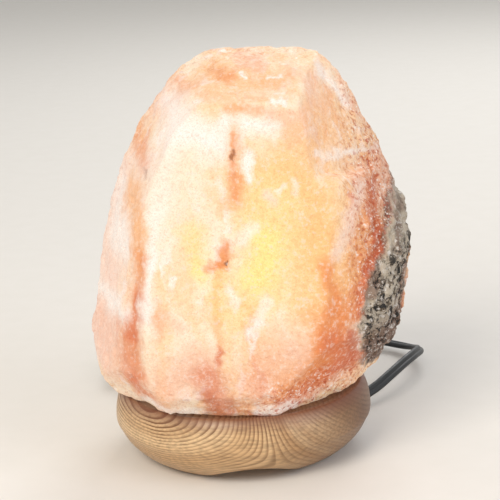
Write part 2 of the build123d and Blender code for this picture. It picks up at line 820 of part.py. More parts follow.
def make_bulb_support_wires():
    stem_top = glass_bottom + stem_length
    wires = []
    for side in (-1, 1):
        foot = (side * 1.0, 0, stem_top)
        knee = (side * 1.6, 0.2, stem_top + 5)
        end = (side * support_wire_spread, 0, glass_bottom + support_wire_length)
        wires.append(lead_tube("support_wire", [foot, knee, end], support_wire_radius))
    return Compound(wires)


def make_bulb_filament():
    height = glass_bottom + support_wire_length
    half = support_wire_spread - support_wire_radius
    sag = 1.2
    arc = ThreePointArc((-half, 0, height), (0, 0, height + sag), (half, 0, height))
    return sweep(Plane(origin=arc @ 0, z_dir=arc % 0) * Circle(filament_radius), path=arc)


def make_lamp_lead():
    reach = lead_boss_reach + holder_relief_length
    out = [along_lead(reach), along_lead(reach + lead_straight)]
    back = [dimmer_end(-1, lead_straight), dimmer_end(-1)]
    return lead_tube("lamp_lead", out + lamp_lead_route + back, lead_diameter / 2)


pieces = {
    "salt_crystal": make_salt_crystal,
    "wood_base": make_wood_base,
    "base_screws": make_base_screws,
    "holder_cap": make_holder_cap,
    "holder_shell": make_holder_shell,
    "socket_insulator": make_socket_insulator,
    "socket_shell": make_socket_shell,
    "centre_contact": make_centre_contact,
    "terminal_screws": make_terminal_screws,
    "holder_wires": make_holder_wires,
    "spring_clip": make_spring_clip,
    "holder_strain_relief": make_holder_strain_relief,
    "lamp_lead": make_lamp_lead,
    "dimmer_bottom_cover": make_dimmer_bottom_cover,
    "dimmer_top_cover": make_dimmer_top_cover,
    "dimmer_circuit_board": make_dimmer_circuit_board,
    "dimmer_potentiometer": make_dimmer_potentiometer,
    "dimmer_triac": make_dimmer_triac,
    "dimmer_capacitor": make_dimmer_capacitor,
    "dimmer_screws": make_dimmer_screws,
    "dimmer_dial": make_dimmer_dial,
    "dimmer_shaft": make_dimmer_shaft,
    "dimmer_strain_reliefs": make_dimmer_strain_reliefs,
    "dimmer_lead": lambda: lead_tube("dimmer_lead", dimmer_lead_route(), lead_diameter / 2),
    "mains_coil": make_mains_coil,
    "coil_tie": make_coil_tie,
    "plug_lead": lambda: lead_tube("plug_lead", plug_lead_route(), lead_diameter / 2),
    "plug_strain_relief": make_plug_strain_relief,
    "plug_body": make_plug_body,
    "plug_live_blade": lambda: make_blade(-1, live_blade_width),
    "plug_neutral_blade": lambda: make_blade(1, neutral_blade_width),
    "bulb_glass": make_bulb_glass,
    "bulb_cap": make_bulb_cap,
    "bulb_insulator": make_bulb_insulator,
    "bulb_tip_contact": make_bulb_tip_contact,
    "bulb_stem": make_bulb_stem,
    "bulb_support_wires": make_bulb_support_wires,
    "bulb_filament": make_bulb_filament,
}

os.makedirs("parts", exist_ok=True)
for name, make in pieces.items():
    export_step(make(), f"parts/{name}.step")
    print(name)
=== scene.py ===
import math

import bmesh
import bpy
from mathutils import Matrix, Vector


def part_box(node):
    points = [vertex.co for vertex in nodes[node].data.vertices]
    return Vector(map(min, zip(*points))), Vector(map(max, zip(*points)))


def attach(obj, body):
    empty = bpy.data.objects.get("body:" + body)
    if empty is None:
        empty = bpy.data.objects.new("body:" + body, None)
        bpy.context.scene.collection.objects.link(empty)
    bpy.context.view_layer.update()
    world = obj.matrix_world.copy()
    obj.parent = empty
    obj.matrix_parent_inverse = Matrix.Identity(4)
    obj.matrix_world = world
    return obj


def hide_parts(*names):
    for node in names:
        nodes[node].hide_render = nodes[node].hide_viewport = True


print("loading the frame")
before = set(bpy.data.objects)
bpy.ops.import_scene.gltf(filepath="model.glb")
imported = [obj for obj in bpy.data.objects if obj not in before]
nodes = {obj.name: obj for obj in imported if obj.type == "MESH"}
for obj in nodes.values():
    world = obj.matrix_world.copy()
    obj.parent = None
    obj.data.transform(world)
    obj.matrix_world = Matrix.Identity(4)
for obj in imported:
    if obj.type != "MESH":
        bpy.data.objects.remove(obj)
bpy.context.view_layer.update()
mm = 0.001


def hexColour(text):  # "#rrggbb" in sRGB, turned to linear
    parts = [int(text[i:i + 2], 16) / 255 for i in (1, 3, 5)]
    return tuple(v / 12.92 if v <= 0.04045 else ((v + 0.055) / 1.055) ** 2.4 for v in parts) + (1.0,)


def addNode(tree, kind, inputs=(), out=0, **settings):
    node = tree.nodes.new(kind)
    for name, value in settings.items():
        setattr(node, name, value)
    for socket, value in dict(inputs).items():
        if isinstance(value, bpy.types.NodeSocket):
            tree.links.new(value, node.inputs[socket])
        else:
            node.inputs[socket].default_value = value
    return node.outputs[out] if len(node.outputs) else node


# settings that many nodes share; an eased step holds its ends by itself, and the salt has so many of them
# that its own leave the clamp out
colourMix = {"data_type": "RGBA"}
tinted = {"data_type": "RGBA", "blend_type": "MULTIPLY"}
eased = {"interpolation_type": "SMOOTHSTEP"}
easedOpen = {"interpolation_type": "SMOOTHSTEP", "clamp": False}


def scaleFor(*sizes):  # a pattern's scale along each axis, from its size in mm
    return tuple(1 / (size * mm) for size in sizes)


def newMaterial(name, uniform=()):
    material = bpy.data.materials.new(name)
    material.use_nodes = True
    shader = material.node_tree.nodes["Principled BSDF"]
    for socket, value in dict(uniform).items():
        shader.inputs[socket].default_value = value
    return material, material.node_tree, shader


def newPiece(name, mesh, material=None, body=None, smooth=True):
    piece = bpy.data.objects.new(name, mesh)
    bpy.context.scene.collection.objects.link(piece)
    if material:
        mesh.materials.clear()
        mesh.materials.append(material)
    if smooth:
        mesh.shade_smooth()
    if body:
        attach(piece, body)
    return piece


def coat(name, material):  # gives a piece of the model its finish
    for materialSlot in nodes[name].material_slots:
        materialSlot.material = material


def faceOutwards(mesh):
    build = bmesh.new()
    build.from_mesh(mesh)
    bmesh.ops.recalc_face_normals(build, faces=build.faces)
    build.to_mesh(mesh)
    build.free()


print("camera and stage")
camera = {"aim": (7.5, 0, 109.2), "distance": 900, "elevation": 15, "roll": -2.66, "lens": 121.2}

cameraData = bpy.data.cameras.new("camera")
cameraData.lens = camera["lens"]
cameraObject = bpy.data.objects.new("camera", cameraData)
bpy.context.scene.collection.objects.link(cameraObject)
tilt = math.radians(camera["elevation"])
back = Vector((0, -math.cos(tilt), math.sin(tilt)))
cameraTurn = (-back).to_track_quat("-Z", "Y").to_matrix()
cameraTurn = cameraTurn @ Matrix.Rotation(math.radians(camera["roll"]), 3, "Z")
cameraPlace = (Vector(camera["aim"]) + back * camera["distance"]) * mm
cameraObject.matrix_world = Matrix.Translation(cameraPlace) @ cameraTurn.to_4x4()
bpy.context.scene.camera = cameraObject
bpy.context.scene.view_settings.view_transform = "Standard"

stage = {
    "floorSize": 24.0, "floorColour": "#e6e3de", "floorMottle": "#e2dfd9", "speckleSize": 16.7,
    "skyColour": "#fbfaf8", "skyStrength": 0.5, "skyShown": 0.8, "lampsAimAt": (0, 0, 0.1),
}
lamps = {
    "key": {"at": (-0.75, -1.25, 1.25), "size": 0.9, "power": 24.0, "colour": "#fff6ea"},
    "fill": {"at": (1.3, -0.9, 0.75), "size": 1.2, "power": 11.0, "colour": "#f3f6ff"},
    "rim": {"at": (0.5, 1.3, 1.2), "size": 0.9, "power": 10.0, "colour": "#ffffff"},
}

# Painted board: matt and even, with only a trace of mottle.
floorMesh = bpy.data.meshes.new("floor")
half = stage["floorSize"] / 2
floorCorners = [(-half, -half, 0), (half, -half, 0), (half, half, 0), (-half, half, 0)]
floorMesh.from_pydata(floorCorners, [], [(0, 1, 2, 3)])
floorMaterial, tree, shader = newMaterial("paintedBoard", {"Roughness": 0.75, "Specular IOR Level": 0.2})
where = addNode(tree, "ShaderNodeTexCoord", out=3)
speckle = {"Vector": where, "Scale": scaleFor(stage["speckleSize"])[0]}
speckle = addNode(tree, "ShaderNodeTexNoise", speckle)
tints = {0: speckle, 6: hexColour(stage["floorMottle"]), 7: hexColour(stage["floorColour"])}
tree.links.new(addNode(tree, "ShaderNodeMix", tints, 2, **colourMix), shader.inputs["Base Color"])
floor = newPiece("floor", floorMesh, floorMaterial)

# seen directly, mirrored or through glass, the sky is brighter than the light it gives
world = bpy.data.worlds.new("studio")
bpy.context.scene.world = world
world.use_nodes = True
tree = world.node_tree
rays = tree.nodes.new("ShaderNodeLightPath").outputs
seen = rays["Is Camera Ray"]
for ray in ("Is Glossy Ray", "Is Transmission Ray"):
    seen = addNode(tree, "ShaderNodeMath", {0: seen, 1: rays[ray]}, operation="MAXIMUM")
strength = addNode(tree, "ShaderNodeMapRange", {0: seen, 3: stage["skyStrength"], 4: stage["skyShown"]})
background = tree.nodes["Background"]
background.inputs["Color"].default_value = hexColour(stage["skyColour"])
tree.links.new(strength, background.inputs["Strength"])

for name, lamp in lamps.items():
    light = bpy.data.lights.new(name, "AREA")
    light.size = lamp["size"]
    light.energy = lamp["power"]
    light.color = hexColour(lamp["colour"])[:3]
    lightObject = bpy.data.objects.new(name, light)
    bpy.context.scene.collection.objects.link(lightObject)
    lightObject.location = lamp["at"]
    aim = Vector(stage["lampsAimAt"]) - Vector(lamp["at"])
    lightObject.rotation_euler = aim.to_track_quat("-Z", "Y").to_euler()


print("cords")
twinLead = {"width": 6.2, "thickness": 3.4, "profilePoints": 24, "coreArc": 256, "webShare": 0.62}

# the same points as the model's route, in metres
lampRoute = [
    (0.03057, 0.02085, 0.0050),
    (0.04378, 0.02987, 0.0050),
    (0.0600, 0.0414, 0.0046),
    (0.0754, 0.0540, 0.0074),
    (0.0864, 0.0670, 0.0114),
    (0.0964, 0.0822, 0.0138),
    (0.1045, 0.0972, 0.0139),
    (0.1092, 0.1110, 0.0116),
    (0.1079, 0.1264, 0.0074),
    (0.1004, 0.1396, 0.0049),
    (0.08698, 0.14926, 0.0055),
    (0.07133, 0.15258, 0.0055),
]
coil = {
    "centre": (-36.5, 126.75), "turns": 6.5, "middleRadius": 33.5, "pitch": 7.0, "low": 4.0, "layer": 6.9,
    "pointsPerTurn": 16, "leadIn": (6.2, 0, 0),
}
plugStart = (0.0, 81.88, 8.0)


def coilPoint(turn):
    reverse = coil["turns"] / 2  # in on the floor, then out on top
    away = turn - reverse
    # a rounded turn back, over a quarter of a turn on each side of the reverse
    drawn = reverse - (2 * away ** 2 + 0.125 if abs(away) < 0.25 else abs(away))
    radius = coil["middleRadius"] + coil["pitch"] * (reverse / 2 - drawn)
    climb = min(max(2 * away + 0.5, 0.0), 1.0)  # to the upper layer, within half a turn
    height = coil["low"] + coil["layer"] * (3 * climb ** 2 - 2 * climb ** 3)
    angle = math.radians(90 + 360 * turn)
    x, y = coil["centre"]
    return (Vector((x + radius * math.cos(angle), y + radius * math.sin(angle), height))) * mm


coilSteps = int(coil["turns"] * coil["pointsPerTurn"])
leadIn = Vector(coil["leadIn"]) * mm
mainsRoute = [(-0.00693, 0.16922, 0.0055), (-0.01426, 0.17078, 0.0055), (-0.0223, 0.17162, 0.0042)]
mainsRoute += [coilPoint(0) + leadIn]
mainsRoute += [coilPoint(i / coil["pointsPerTurn"]) for i in range(coilSteps + 1)]
mainsRoute += [coilPoint(coil["turns"]) + leadIn, (-0.0202, 0.08188, 0.0109), (-0.0101, 0.08188, 0.0080)]
mainsRoute += [Vector(plugStart) * mm]


def smoothPath(name, points, resolution=8):
    curve = bpy.data.curves.new(name, "CURVE")
    curve.dimensions = "3D"
    curve.resolution_u = resolution
    spline = curve.splines.new("NURBS")
    spline.points.add(len(points) - 1)
    for point, place in zip(spline.points, points):
        point.co = (*place, 1.0)
    spline.order_u = 3
    spline.use_endpoint_u = True
    guide = bpy.data.objects.new(name, curve)
    bpy.context.scene.collection.objects.link(guide)
    bpy.context.view_layer.update()
    mesh = bpy.data.meshes.new_from_object(guide.evaluated_get(bpy.context.evaluated_depsgraph_get()))
    path = [vertex.co.copy() for vertex in mesh.vertices]
    bpy.data.objects.remove(guide)
    bpy.data.meshes.remove(mesh)
    apart = 0.05 * mm  # points closer than this are one
    return [a for a, b in zip(path, path[1:]) if (a - b).length > apart] + [path[-1]]


def twinProfile():  # two round cores side by side, joined by a web: the groove runs between them
    core = twinLead["thickness"] / 2
    reach = twinLead["width"] / 2 - core
    groove = twinLead["webShare"] * core
    outline = []
    steps = twinLead["profilePoints"] // 2
    for side in (1, -1):
        for i in range(steps):
            angle = math.radians(twinLead["coreArc"] * (i / (steps - 1) - 0.5))
            angle += 0 if side > 0 else math.pi
            outline.append((side * reach + core * math.cos(angle), core * math.sin(angle)))
        outline.append((0, groove * side))
    return outline


def rollAt(share, stops):  # degrees, eased from one stop to the next
    for (a, first), (b, second) in zip(stops, stops[1:]):
        if share <= b:
            mix = min(max((share - a) / max(b - a, 1e-9), 0), 1)
            return first + (second - first) * (3 * mix ** 2 - 2 * mix ** 3)
    return stops[-1][1]


def sweepLead(name, path, stops, material):
    outline = twinProfile()
    count = len(outline)
    runs = [0.0]
    for a, b in zip(path, path[1:]):
        runs.append(runs[-1] + (b - a).length)
    corners = []
    for i, place in enumerate(path):
        ahead = (path[min(i + 1, len(path) - 1)] - path[max(i - 1, 0)]).normalized()
        side = ahead.cross(Vector((0, 0, 1))).normalized()
        up = side.cross(ahead)
        roll = math.radians(rollAt(runs[i] / runs[-1], stops))
        wide = side * math.cos(roll) + up * math.sin(roll)
        thin = wide.cross(ahead)
        for j, (x, y) in enumerate(outline):
            corners.append(place + (wide * x + thin * y) * mm)
    faces = [tuple(range(count))[::-1], tuple(range(len(corners) - count, len(corners)))]  # both ends
    for i in range(len(path) - 1):
        for j in range(count):
            k = (j + 1) % count
            faces.append((i * count + j, i * count + k, (i + 1) * count + k, (i + 1) * count + j))
    mesh = bpy.data.meshes.new(name)
    mesh.from_pydata(corners, [], faces)
    layer = mesh.uv_layers.new(name="lead")  # across the sheath, and along it in metres
    for polygon in mesh.polygons:
        for loop in polygon.loop_indices:
            vertex = mesh.loops[loop].vertex_index
            layer.data[loop].uv = (vertex % count / count, runs[vertex // count])
    faceOutwards(mesh)
    return newPiece(name, mesh, material, "holder_and_lead")


# Extruded PVC sheath: even, slightly soft sheen with faint lines along the way it left the die.
leadLook = {
    "colour": "#111315", "worn": "#1d2023", "roughness": 0.42, "scuffSize": 9.0, "lineDepth": 0.1,
    "lineScale": (24.0, 12.0, 1.0),  # once round the sheath, and along a metre of it
}
leadMaterial, tree, shader = newMaterial("extrudedPvc", {"Specular IOR Level": 0.5})
uv = addNode(tree, "ShaderNodeUVMap", uv_map="lead")
along = addNode(tree, "ShaderNodeMapping", {"Vector": uv, "Scale": leadLook["lineScale"]})
lines = addNode(tree, "ShaderNodeTexNoise", {"Vector": along, "Scale": 2.0, "Detail": 3.0})
where = addNode(tree, "ShaderNodeTexCoord", out=3)
scuffScale = scaleFor(leadLook["scuffSize"])[0]
scuffs = addNode(tree, "ShaderNodeTexNoise", {"Vector": where, "Scale": scuffScale, "Detail": 4.0})
tints = {0: scuffs, 6: hexColour(leadLook["colour"]), 7: hexColour(leadLook["worn"])}
tree.links.new(addNode(tree, "ShaderNodeMix", tints, 2, **colourMix), shader.inputs["Base Color"])
sheen = {0: scuffs, 1: 0.3, 2: 0.7, 3: leadLook["roughness"] - 0.08, 4: leadLook["roughness"] + 0.1}
tree.links.new(addNode(tree, "ShaderNodeMapRange", sheen), shader.inputs["Roughness"])
ridges = {"Height": lines, "Strength": 0.25, "Distance": leadLook["lineDepth"] * mm}
tree.links.new(addNode(tree, "ShaderNodeBump", ridges), shader.inputs["Normal"])

# how far the flat lead is rolled on its side: share of its length, degrees
lampRolls = [(0, 0), (0.1, 0), (0.25, -54), (0.6, -54), (0.85, 0), (1, 0)]
mainsRolls = [(0, 0), (0.012, 0), (0.04, 90), (0.975, 90), (0.995, 0), (1, 0)]
lampPath = smoothPath("lampPath", lampRoute)
lampLead = sweepLead("lampLead", lampPath, lampRolls, leadMaterial)
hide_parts("lamp_lead")
mainsPath = smoothPath("mainsPath", mainsRoute, 4)
mainsLead = sweepLead("mainsLead", mainsPath, mainsRolls, leadMaterial)
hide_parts("dimmer_lead", "mains_coil", "plug_lead")


def pathLength(path):
    return sum((b - a).length for a, b in zip(path, path[1:]))


print("lead lengths", round(pathLength(lampPath), 4), round(pathLength(mainsPath), 4))


print("finishes")
# Each entry: two colours, roughness, grain size and depth in mm, metallic.
finishes = {
    "mouldedPhenolic": ("#1c1a19", "#2a2725", 0.34, 1.2, 0.02, 0.0),  # hard and slightly glossy, flow marks
    "sparkErodedAbs": ("#1b1c1e", "#232528", 0.55, 0.7, 0.05, 0.0),  # matt, with the mould's even grain
    "ribbedAbs": ("#202124", "#2c2e32", 0.48, 0.9, 0.03, 0.0),  # a little shinier, where fingers rub
    "mouldedPvc": ("#18191b", "#232427", 0.46, 1.4, 0.03, 0.0),  # soft satin of a moulded-on plug
    "whiteUrea": ("#e6e2d6", "#d8d2c2", 0.4, 1.5, 0.02, 0.0),  # hard, warm white, like thick glaze
    "zincPlatedSteel": ("#b9bcbf", "#9da2a6", 0.36, 2.0, 0.01, 1.0),  # bright grey, faintly clouded
    "bluedSpringSteel": ("#a9adb3", "#858a92", 0.3, 3.0, 0.01, 1.0),  # smooth, with a cold cast
    "rolledBrass": ("#d8b36a", "#b88f45", 0.32, 2.5, 0.02, 1.0),  # yellow, dulled in patches
    "stampedBrass": ("#dcbf7c", "#c3a25c", 0.28, 3.0, 0.01, 1.0),  # brighter, flattened by the press
    "platedCap": ("#cfc6ad", "#aaa088", 0.3, 2.0, 0.02, 1.0),  # nickel worn towards the brass below
    "turnedAluminium": ("#d2d3d5", "#b6b8bb", 0.3, 1.0, 0.01, 1.0),  # clean, light and silky
    "paperLaminate": ("#a98c52", "#8c7340", 0.6, 1.5, 0.02, 0.0),  # dull tan board
    "dippedFilm": ("#8c2a1a", "#a53a22", 0.3, 2.0, 0.02, 0.0),  # glossy brown-red dip coat
    "blackGlass": ("#141416", "#1e1e20", 0.12, 3.0, 0.01, 0.0),  # black and wet-looking
    "tinSolder": ("#b4b6b8", "#95989b", 0.34, 1.0, 0.03, 1.0),  # soft grey, lumpy
    "siliconeWire": ("#26201f", "#342c2a", 0.5, 1.0, 0.02, 0.0),  # rubbery, no shine
}


def makeFinish(name):
    first, second, roughness, size, depth, metallic = finishes[name]
    material, tree, shader = newMaterial(name, {"Metallic": metallic})
    where = addNode(tree, "ShaderNodeTexCoord", out=3)
    grain = {"Vector": where, "Scale": scaleFor(size)[0], "Detail": 3.0}
    grain = addNode(tree, "ShaderNodeTexNoise", grain)
    cloud = {"Vector": where, "Scale": scaleFor(7 * size)[0], "Detail": 4.0}
    cloud = addNode(tree, "ShaderNodeTexNoise", cloud)
    tints = {0: cloud, 6: hexColour(first), 7: hexColour(second)}
    tree.links.new(addNode(tree, "ShaderNodeMix", tints, 2, **colourMix), shader.inputs["Base Color"])
    sheen = {0: cloud, 1: 0.25, 2: 0.75, 3: roughness - 0.07, 4: roughness + 0.09}
    tree.links.new(addNode(tree, "ShaderNodeMapRange", sheen), shader.inputs["Roughness"])
    bump = addNode(tree, "ShaderNodeBump", {"Height": grain, "Strength": 0.5, "Distance": depth * mm})
    tree.links.new(bump, shader.inputs["Normal"])
    return material


materials = {name: makeFinish(name) for name in finishes}

print("bend guards")
# Where the lead goes into the dimmer: a cone of the plug's plastic, cut by slots.
relief = {
    "length": 21.0, "root": 4.2, "tip": 3.0, "collar": 3.0, "slots": 6, "slotDepth": 0.8, "sides": 36,
    "slotShape": ((0.06, 1), (0.4, 1), (0.48, 0), (0.96, 0)),  # share of a pitch, and 1 where it is cut
    "tipRound": (0.3, 0.4),
}
dimmer = {"centre": (32.2, 160.9), "heading": 168.0, "halfLength": 28.0, "leadHeight": 5.5}


def makeRelief():
    steps = [(0.0, relief["root"]), (relief["collar"], relief["root"])]
    pitch = (relief["length"] - relief["collar"]) / relief["slots"]
    for i in range(relief["slots"]):
        start = relief["collar"] + i * pitch
        for share, cut in relief["slotShape"]:
            at = start + share * pitch
            radius = relief["root"] + (relief["tip"] - relief["root"]) * at / relief["length"]
            steps.append((at, radius - cut * relief["slotDepth"]))
    back, inward = relief["tipRound"]
    steps += [(relief["length"] - back, relief["tip"]), (relief["length"], relief["tip"] - inward)]
    corners = [(0, 0, 0)]
    count = relief["sides"]
    for at, radius in steps:
        for i in range(count):
            angle = 2 * math.pi * i / count
            corners.append((at * mm, radius * math.cos(angle) * mm, radius * math.sin(angle) * mm))
    corners.append((relief["length"] * mm, 0, 0))
    last = len(corners) - 1
    faces = []
    for i in range(count):
        k = (i + 1) % count
        faces.append((0, 1 + k, 1 + i))
        faces.append((last, last - count + i, last - count + k))
        for j in range(len(steps) - 1):
            a, b = 1 + j * count, 1 + (j + 1) * count
            faces.append((a + i, a + k, b + k, b + i))
    return corners, faces


corners, faces = makeRelief()
allCorners, allFaces = [], []
dimmerSpot = Matrix.Translation(Vector((*dimmer["centre"], dimmer["leadHeight"])) * mm)
toEnd = Matrix.Translation((dimmer["halfLength"] * mm, 0, 0))
for turn in (0, 180):
    heading = Matrix.Rotation(math.radians(dimmer["heading"]), 4, "Z")
    heading = heading @ Matrix.Rotation(math.radians(turn), 4, "Z")
    allFaces += [tuple(v + len(allCorners) for v in face) for face in faces]
    allCorners += [dimmerSpot @ heading @ toEnd @ Vector(corner) for corner in corners]
reliefMesh = bpy.data.meshes.new("dimmerReliefs")
reliefMesh.from_pydata(allCorners, [], allFaces)
dimmerReliefs = newPiece("dimmerReliefs", reliefMesh, materials["mouldedPvc"], "holder_and_lead",
                         smooth=False)
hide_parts("dimmer_strain_reliefs")

finishOf = {
    "mouldedPhenolic": ["holder_cap", "holder_shell"],
    "whiteUrea": ["socket_insulator"],
    "rolledBrass": ["socket_shell", "centre_contact", "terminal_screws"],
    "siliconeWire": ["holder_wires"],
    "bluedSpringSteel": ["spring_clip"],
    "zincPlatedSteel": ["base_screws", "dimmer_screws", "bulb_support_wires"],
    "mouldedPvc": ["holder_strain_relief", "plug_strain_relief", "plug_body"],
    "sparkErodedAbs": ["dimmer_bottom_cover", "dimmer_top_cover", "dimmer_potentiometer", "dimmer_triac"],
    "ribbedAbs": ["dimmer_dial"],
    "paperLaminate": ["dimmer_circuit_board"],
    "dippedFilm": ["dimmer_capacitor"],
    "turnedAluminium": ["dimmer_shaft"],
    "stampedBrass": ["plug_live_blade", "plug_neutral_blade"],
    "platedCap": ["bulb_cap"],
    "blackGlass": ["bulb_insulator"],
    "tinSolder": ["bulb_tip_contact"],
}
for name, members in finishOf.items():
    for member in members:
        coat(member, materials[name])


print("coil tie")
tie = {
    "bearing": 205.0, "near": 19.0, "far": 48.0, "low": 0.5, "high": 14.3, "corner": 3.0, "cornerSteps": 7,
    "thickness": 0.5, "width": 7.0,
}


def makeTie():  # a soft band round the coil's turns, closed on itself
    ends, heights, inset = (tie["near"], tie["far"]), (tie["low"], tie["high"]), tie["corner"]
    loop = []
    for x, z, start in ((1, 1, 0), (0, 1, 90), (0, 0, 180), (1, 0, 270)):
        middle = (ends[x] + inset * (1 - 2 * x), heights[z] + inset * (1 - 2 * z))
        for i in range(tie["cornerSteps"]):
            angle = math.radians(start + 90 * i / (tie["cornerSteps"] - 1))
            loop.append((middle, math.cos(angle), math.sin(angle)))
    inner = inset - tie["thickness"]
    rows, faces = [], []
    for (x, z), out, rise in loop:
        for radius, side in ((inset, -1), (inset, 1), (inner, 1), (inner, -1)):
            rows.append((x + out * radius, side * tie["width"] / 2, z + rise * radius))
    for i in range(len(loop)):
        k = (i + 1) % len(loop)
        for j in range(4):
            faces.append((4 * i + j, 4 * i + (j + 1) % 4, 4 * k + (j + 1) % 4, 4 * k + j))
    return rows, faces


rows, faces = makeTie()
place = Matrix.Translation(Vector((*coil["centre"], 0)) * mm)
place = place @ Matrix.Rotation(math.radians(tie["bearing"]), 4, "Z")
tieMesh = bpy.data.meshes.new("coilTie")
tieMesh.from_pydata([place @ (Vector(row) * mm) for row in rows], [], faces)
faceOutwards(tieMesh)
coilTie = newPiece("coilTie", tieMesh, materials["ribbedAbs"], "holder_and_lead", smooth=False)
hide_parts("coil_tie")


print("bulb")
bulbLook = {
    "glass": "#ffffff", "warm": "#fff3df", "shine": "#ffcf93", "shineStrength": 0.35, "rippleSize": 8.3,
    "wireCool": "#ff9a3c", "wireHot": "#ffd79a", "wireStrength": 6.0, "wirePitch": 1.26,
}
# Blown clear glass, lit from inside by the filament: warm all over, with faint ripples.
bulbGlass, tree, shader = newMaterial("blownGlass", {
    "IOR": 1.5, "Transmission Weight": 1.0, "Roughness": 0.02, "Emission Strength": bulbLook["shineStrength"],
    "Emission Color": hexColour(bulbLook["shine"]),
})
where = addNode(tree, "ShaderNodeTexCoord", out=3)
ripple = {"Vector": where, "Scale": scaleFor(bulbLook["rippleSize"])[0], "Detail": 2.0}
ripple = addNode(tree, "ShaderNodeTexNoise", ripple)
tints = {0: ripple, 6: hexColour(bulbLook["warm"]), 7: hexColour(bulbLook["glass"])}
tree.links.new(addNode(tree, "ShaderNodeMix", tints, 2, **colourMix), shader.inputs["Base Color"])
bump = addNode(tree, "ShaderNodeBump", {"Height": ripple, "Strength": 0.15, "Distance": 0.1 * mm})
tree.links.new(bump, shader.inputs["Normal"])

# Drawn tungsten, coiled and glowing: brighter along each turn than between them.
hotWire, tree, shader = newMaterial("coiledTungsten", {
    "Metallic": 1.0, "Roughness": 0.4, "Emission Strength": bulbLook["wireStrength"],
})
where = addNode(tree, "ShaderNodeTexCoord", out=3)
wave = 0.1 * math.pi  # the period of a wave at scale 1
turns = {"Vector": where, "Scale": wave / (bulbLook["wirePitch"] * mm), "Distortion": 0.0}
turns = addNode(tree, "ShaderNodeTexWave", turns, bands_direction="X")
tints = {0: turns, 6: hexColour(bulbLook["wireCool"]), 7: hexColour(bulbLook["wireHot"])}
glow = addNode(tree, "ShaderNodeMix", tints, 2, **colourMix)
tree.links.new(glow, shader.inputs["Base Color"])
tree.links.new(glow, shader.inputs["Emission Color"])
for name, material in (("bulb_glass", bulbGlass), ("bulb_stem", bulbGlass), ("bulb_filament", hotWire)):
    coat(name, material)


print("wood base")
# Turned and oiled hardwood. The lathe cuts the growth rings into nested arcs on the left and long lines on
# the right; the thin brown late wood stands a little proud and is duller than the pale wood between.
woodLook = {
    # blush is the painted shadow under the salt; shade is the painted shade on the right side
    "pale": "#dab98e", "honey": "#bf976a", "line": "#7a5733", "blush": "#6b3d2a", "shade": "#7c5a40",
    "pith": (-46, 0, 38), "flatten": (0.46, 0.12, 1.0), "ringSpacing": 1.45,
    "slope": (0.4, 0.1, 0.6), "slopeStart": 23.4, "wander": 2.2, "wanderSize": 31.25, "strengthSize": 26.3,
    "bandsPerRing": 0.13, "poreSize": (9.1, 1.25, 1.11), "poreTurn": (0, 0.35, 0.28), "roughness": 0.4,
    # from and to along an axis, in mm: across for the first three, up for the others
    "straightens": (-12, 42), "fades": (5, 45), "shadedRight": (10, 64), "crisps": (22, 32), "underSaltShadow": (30, 37),
}


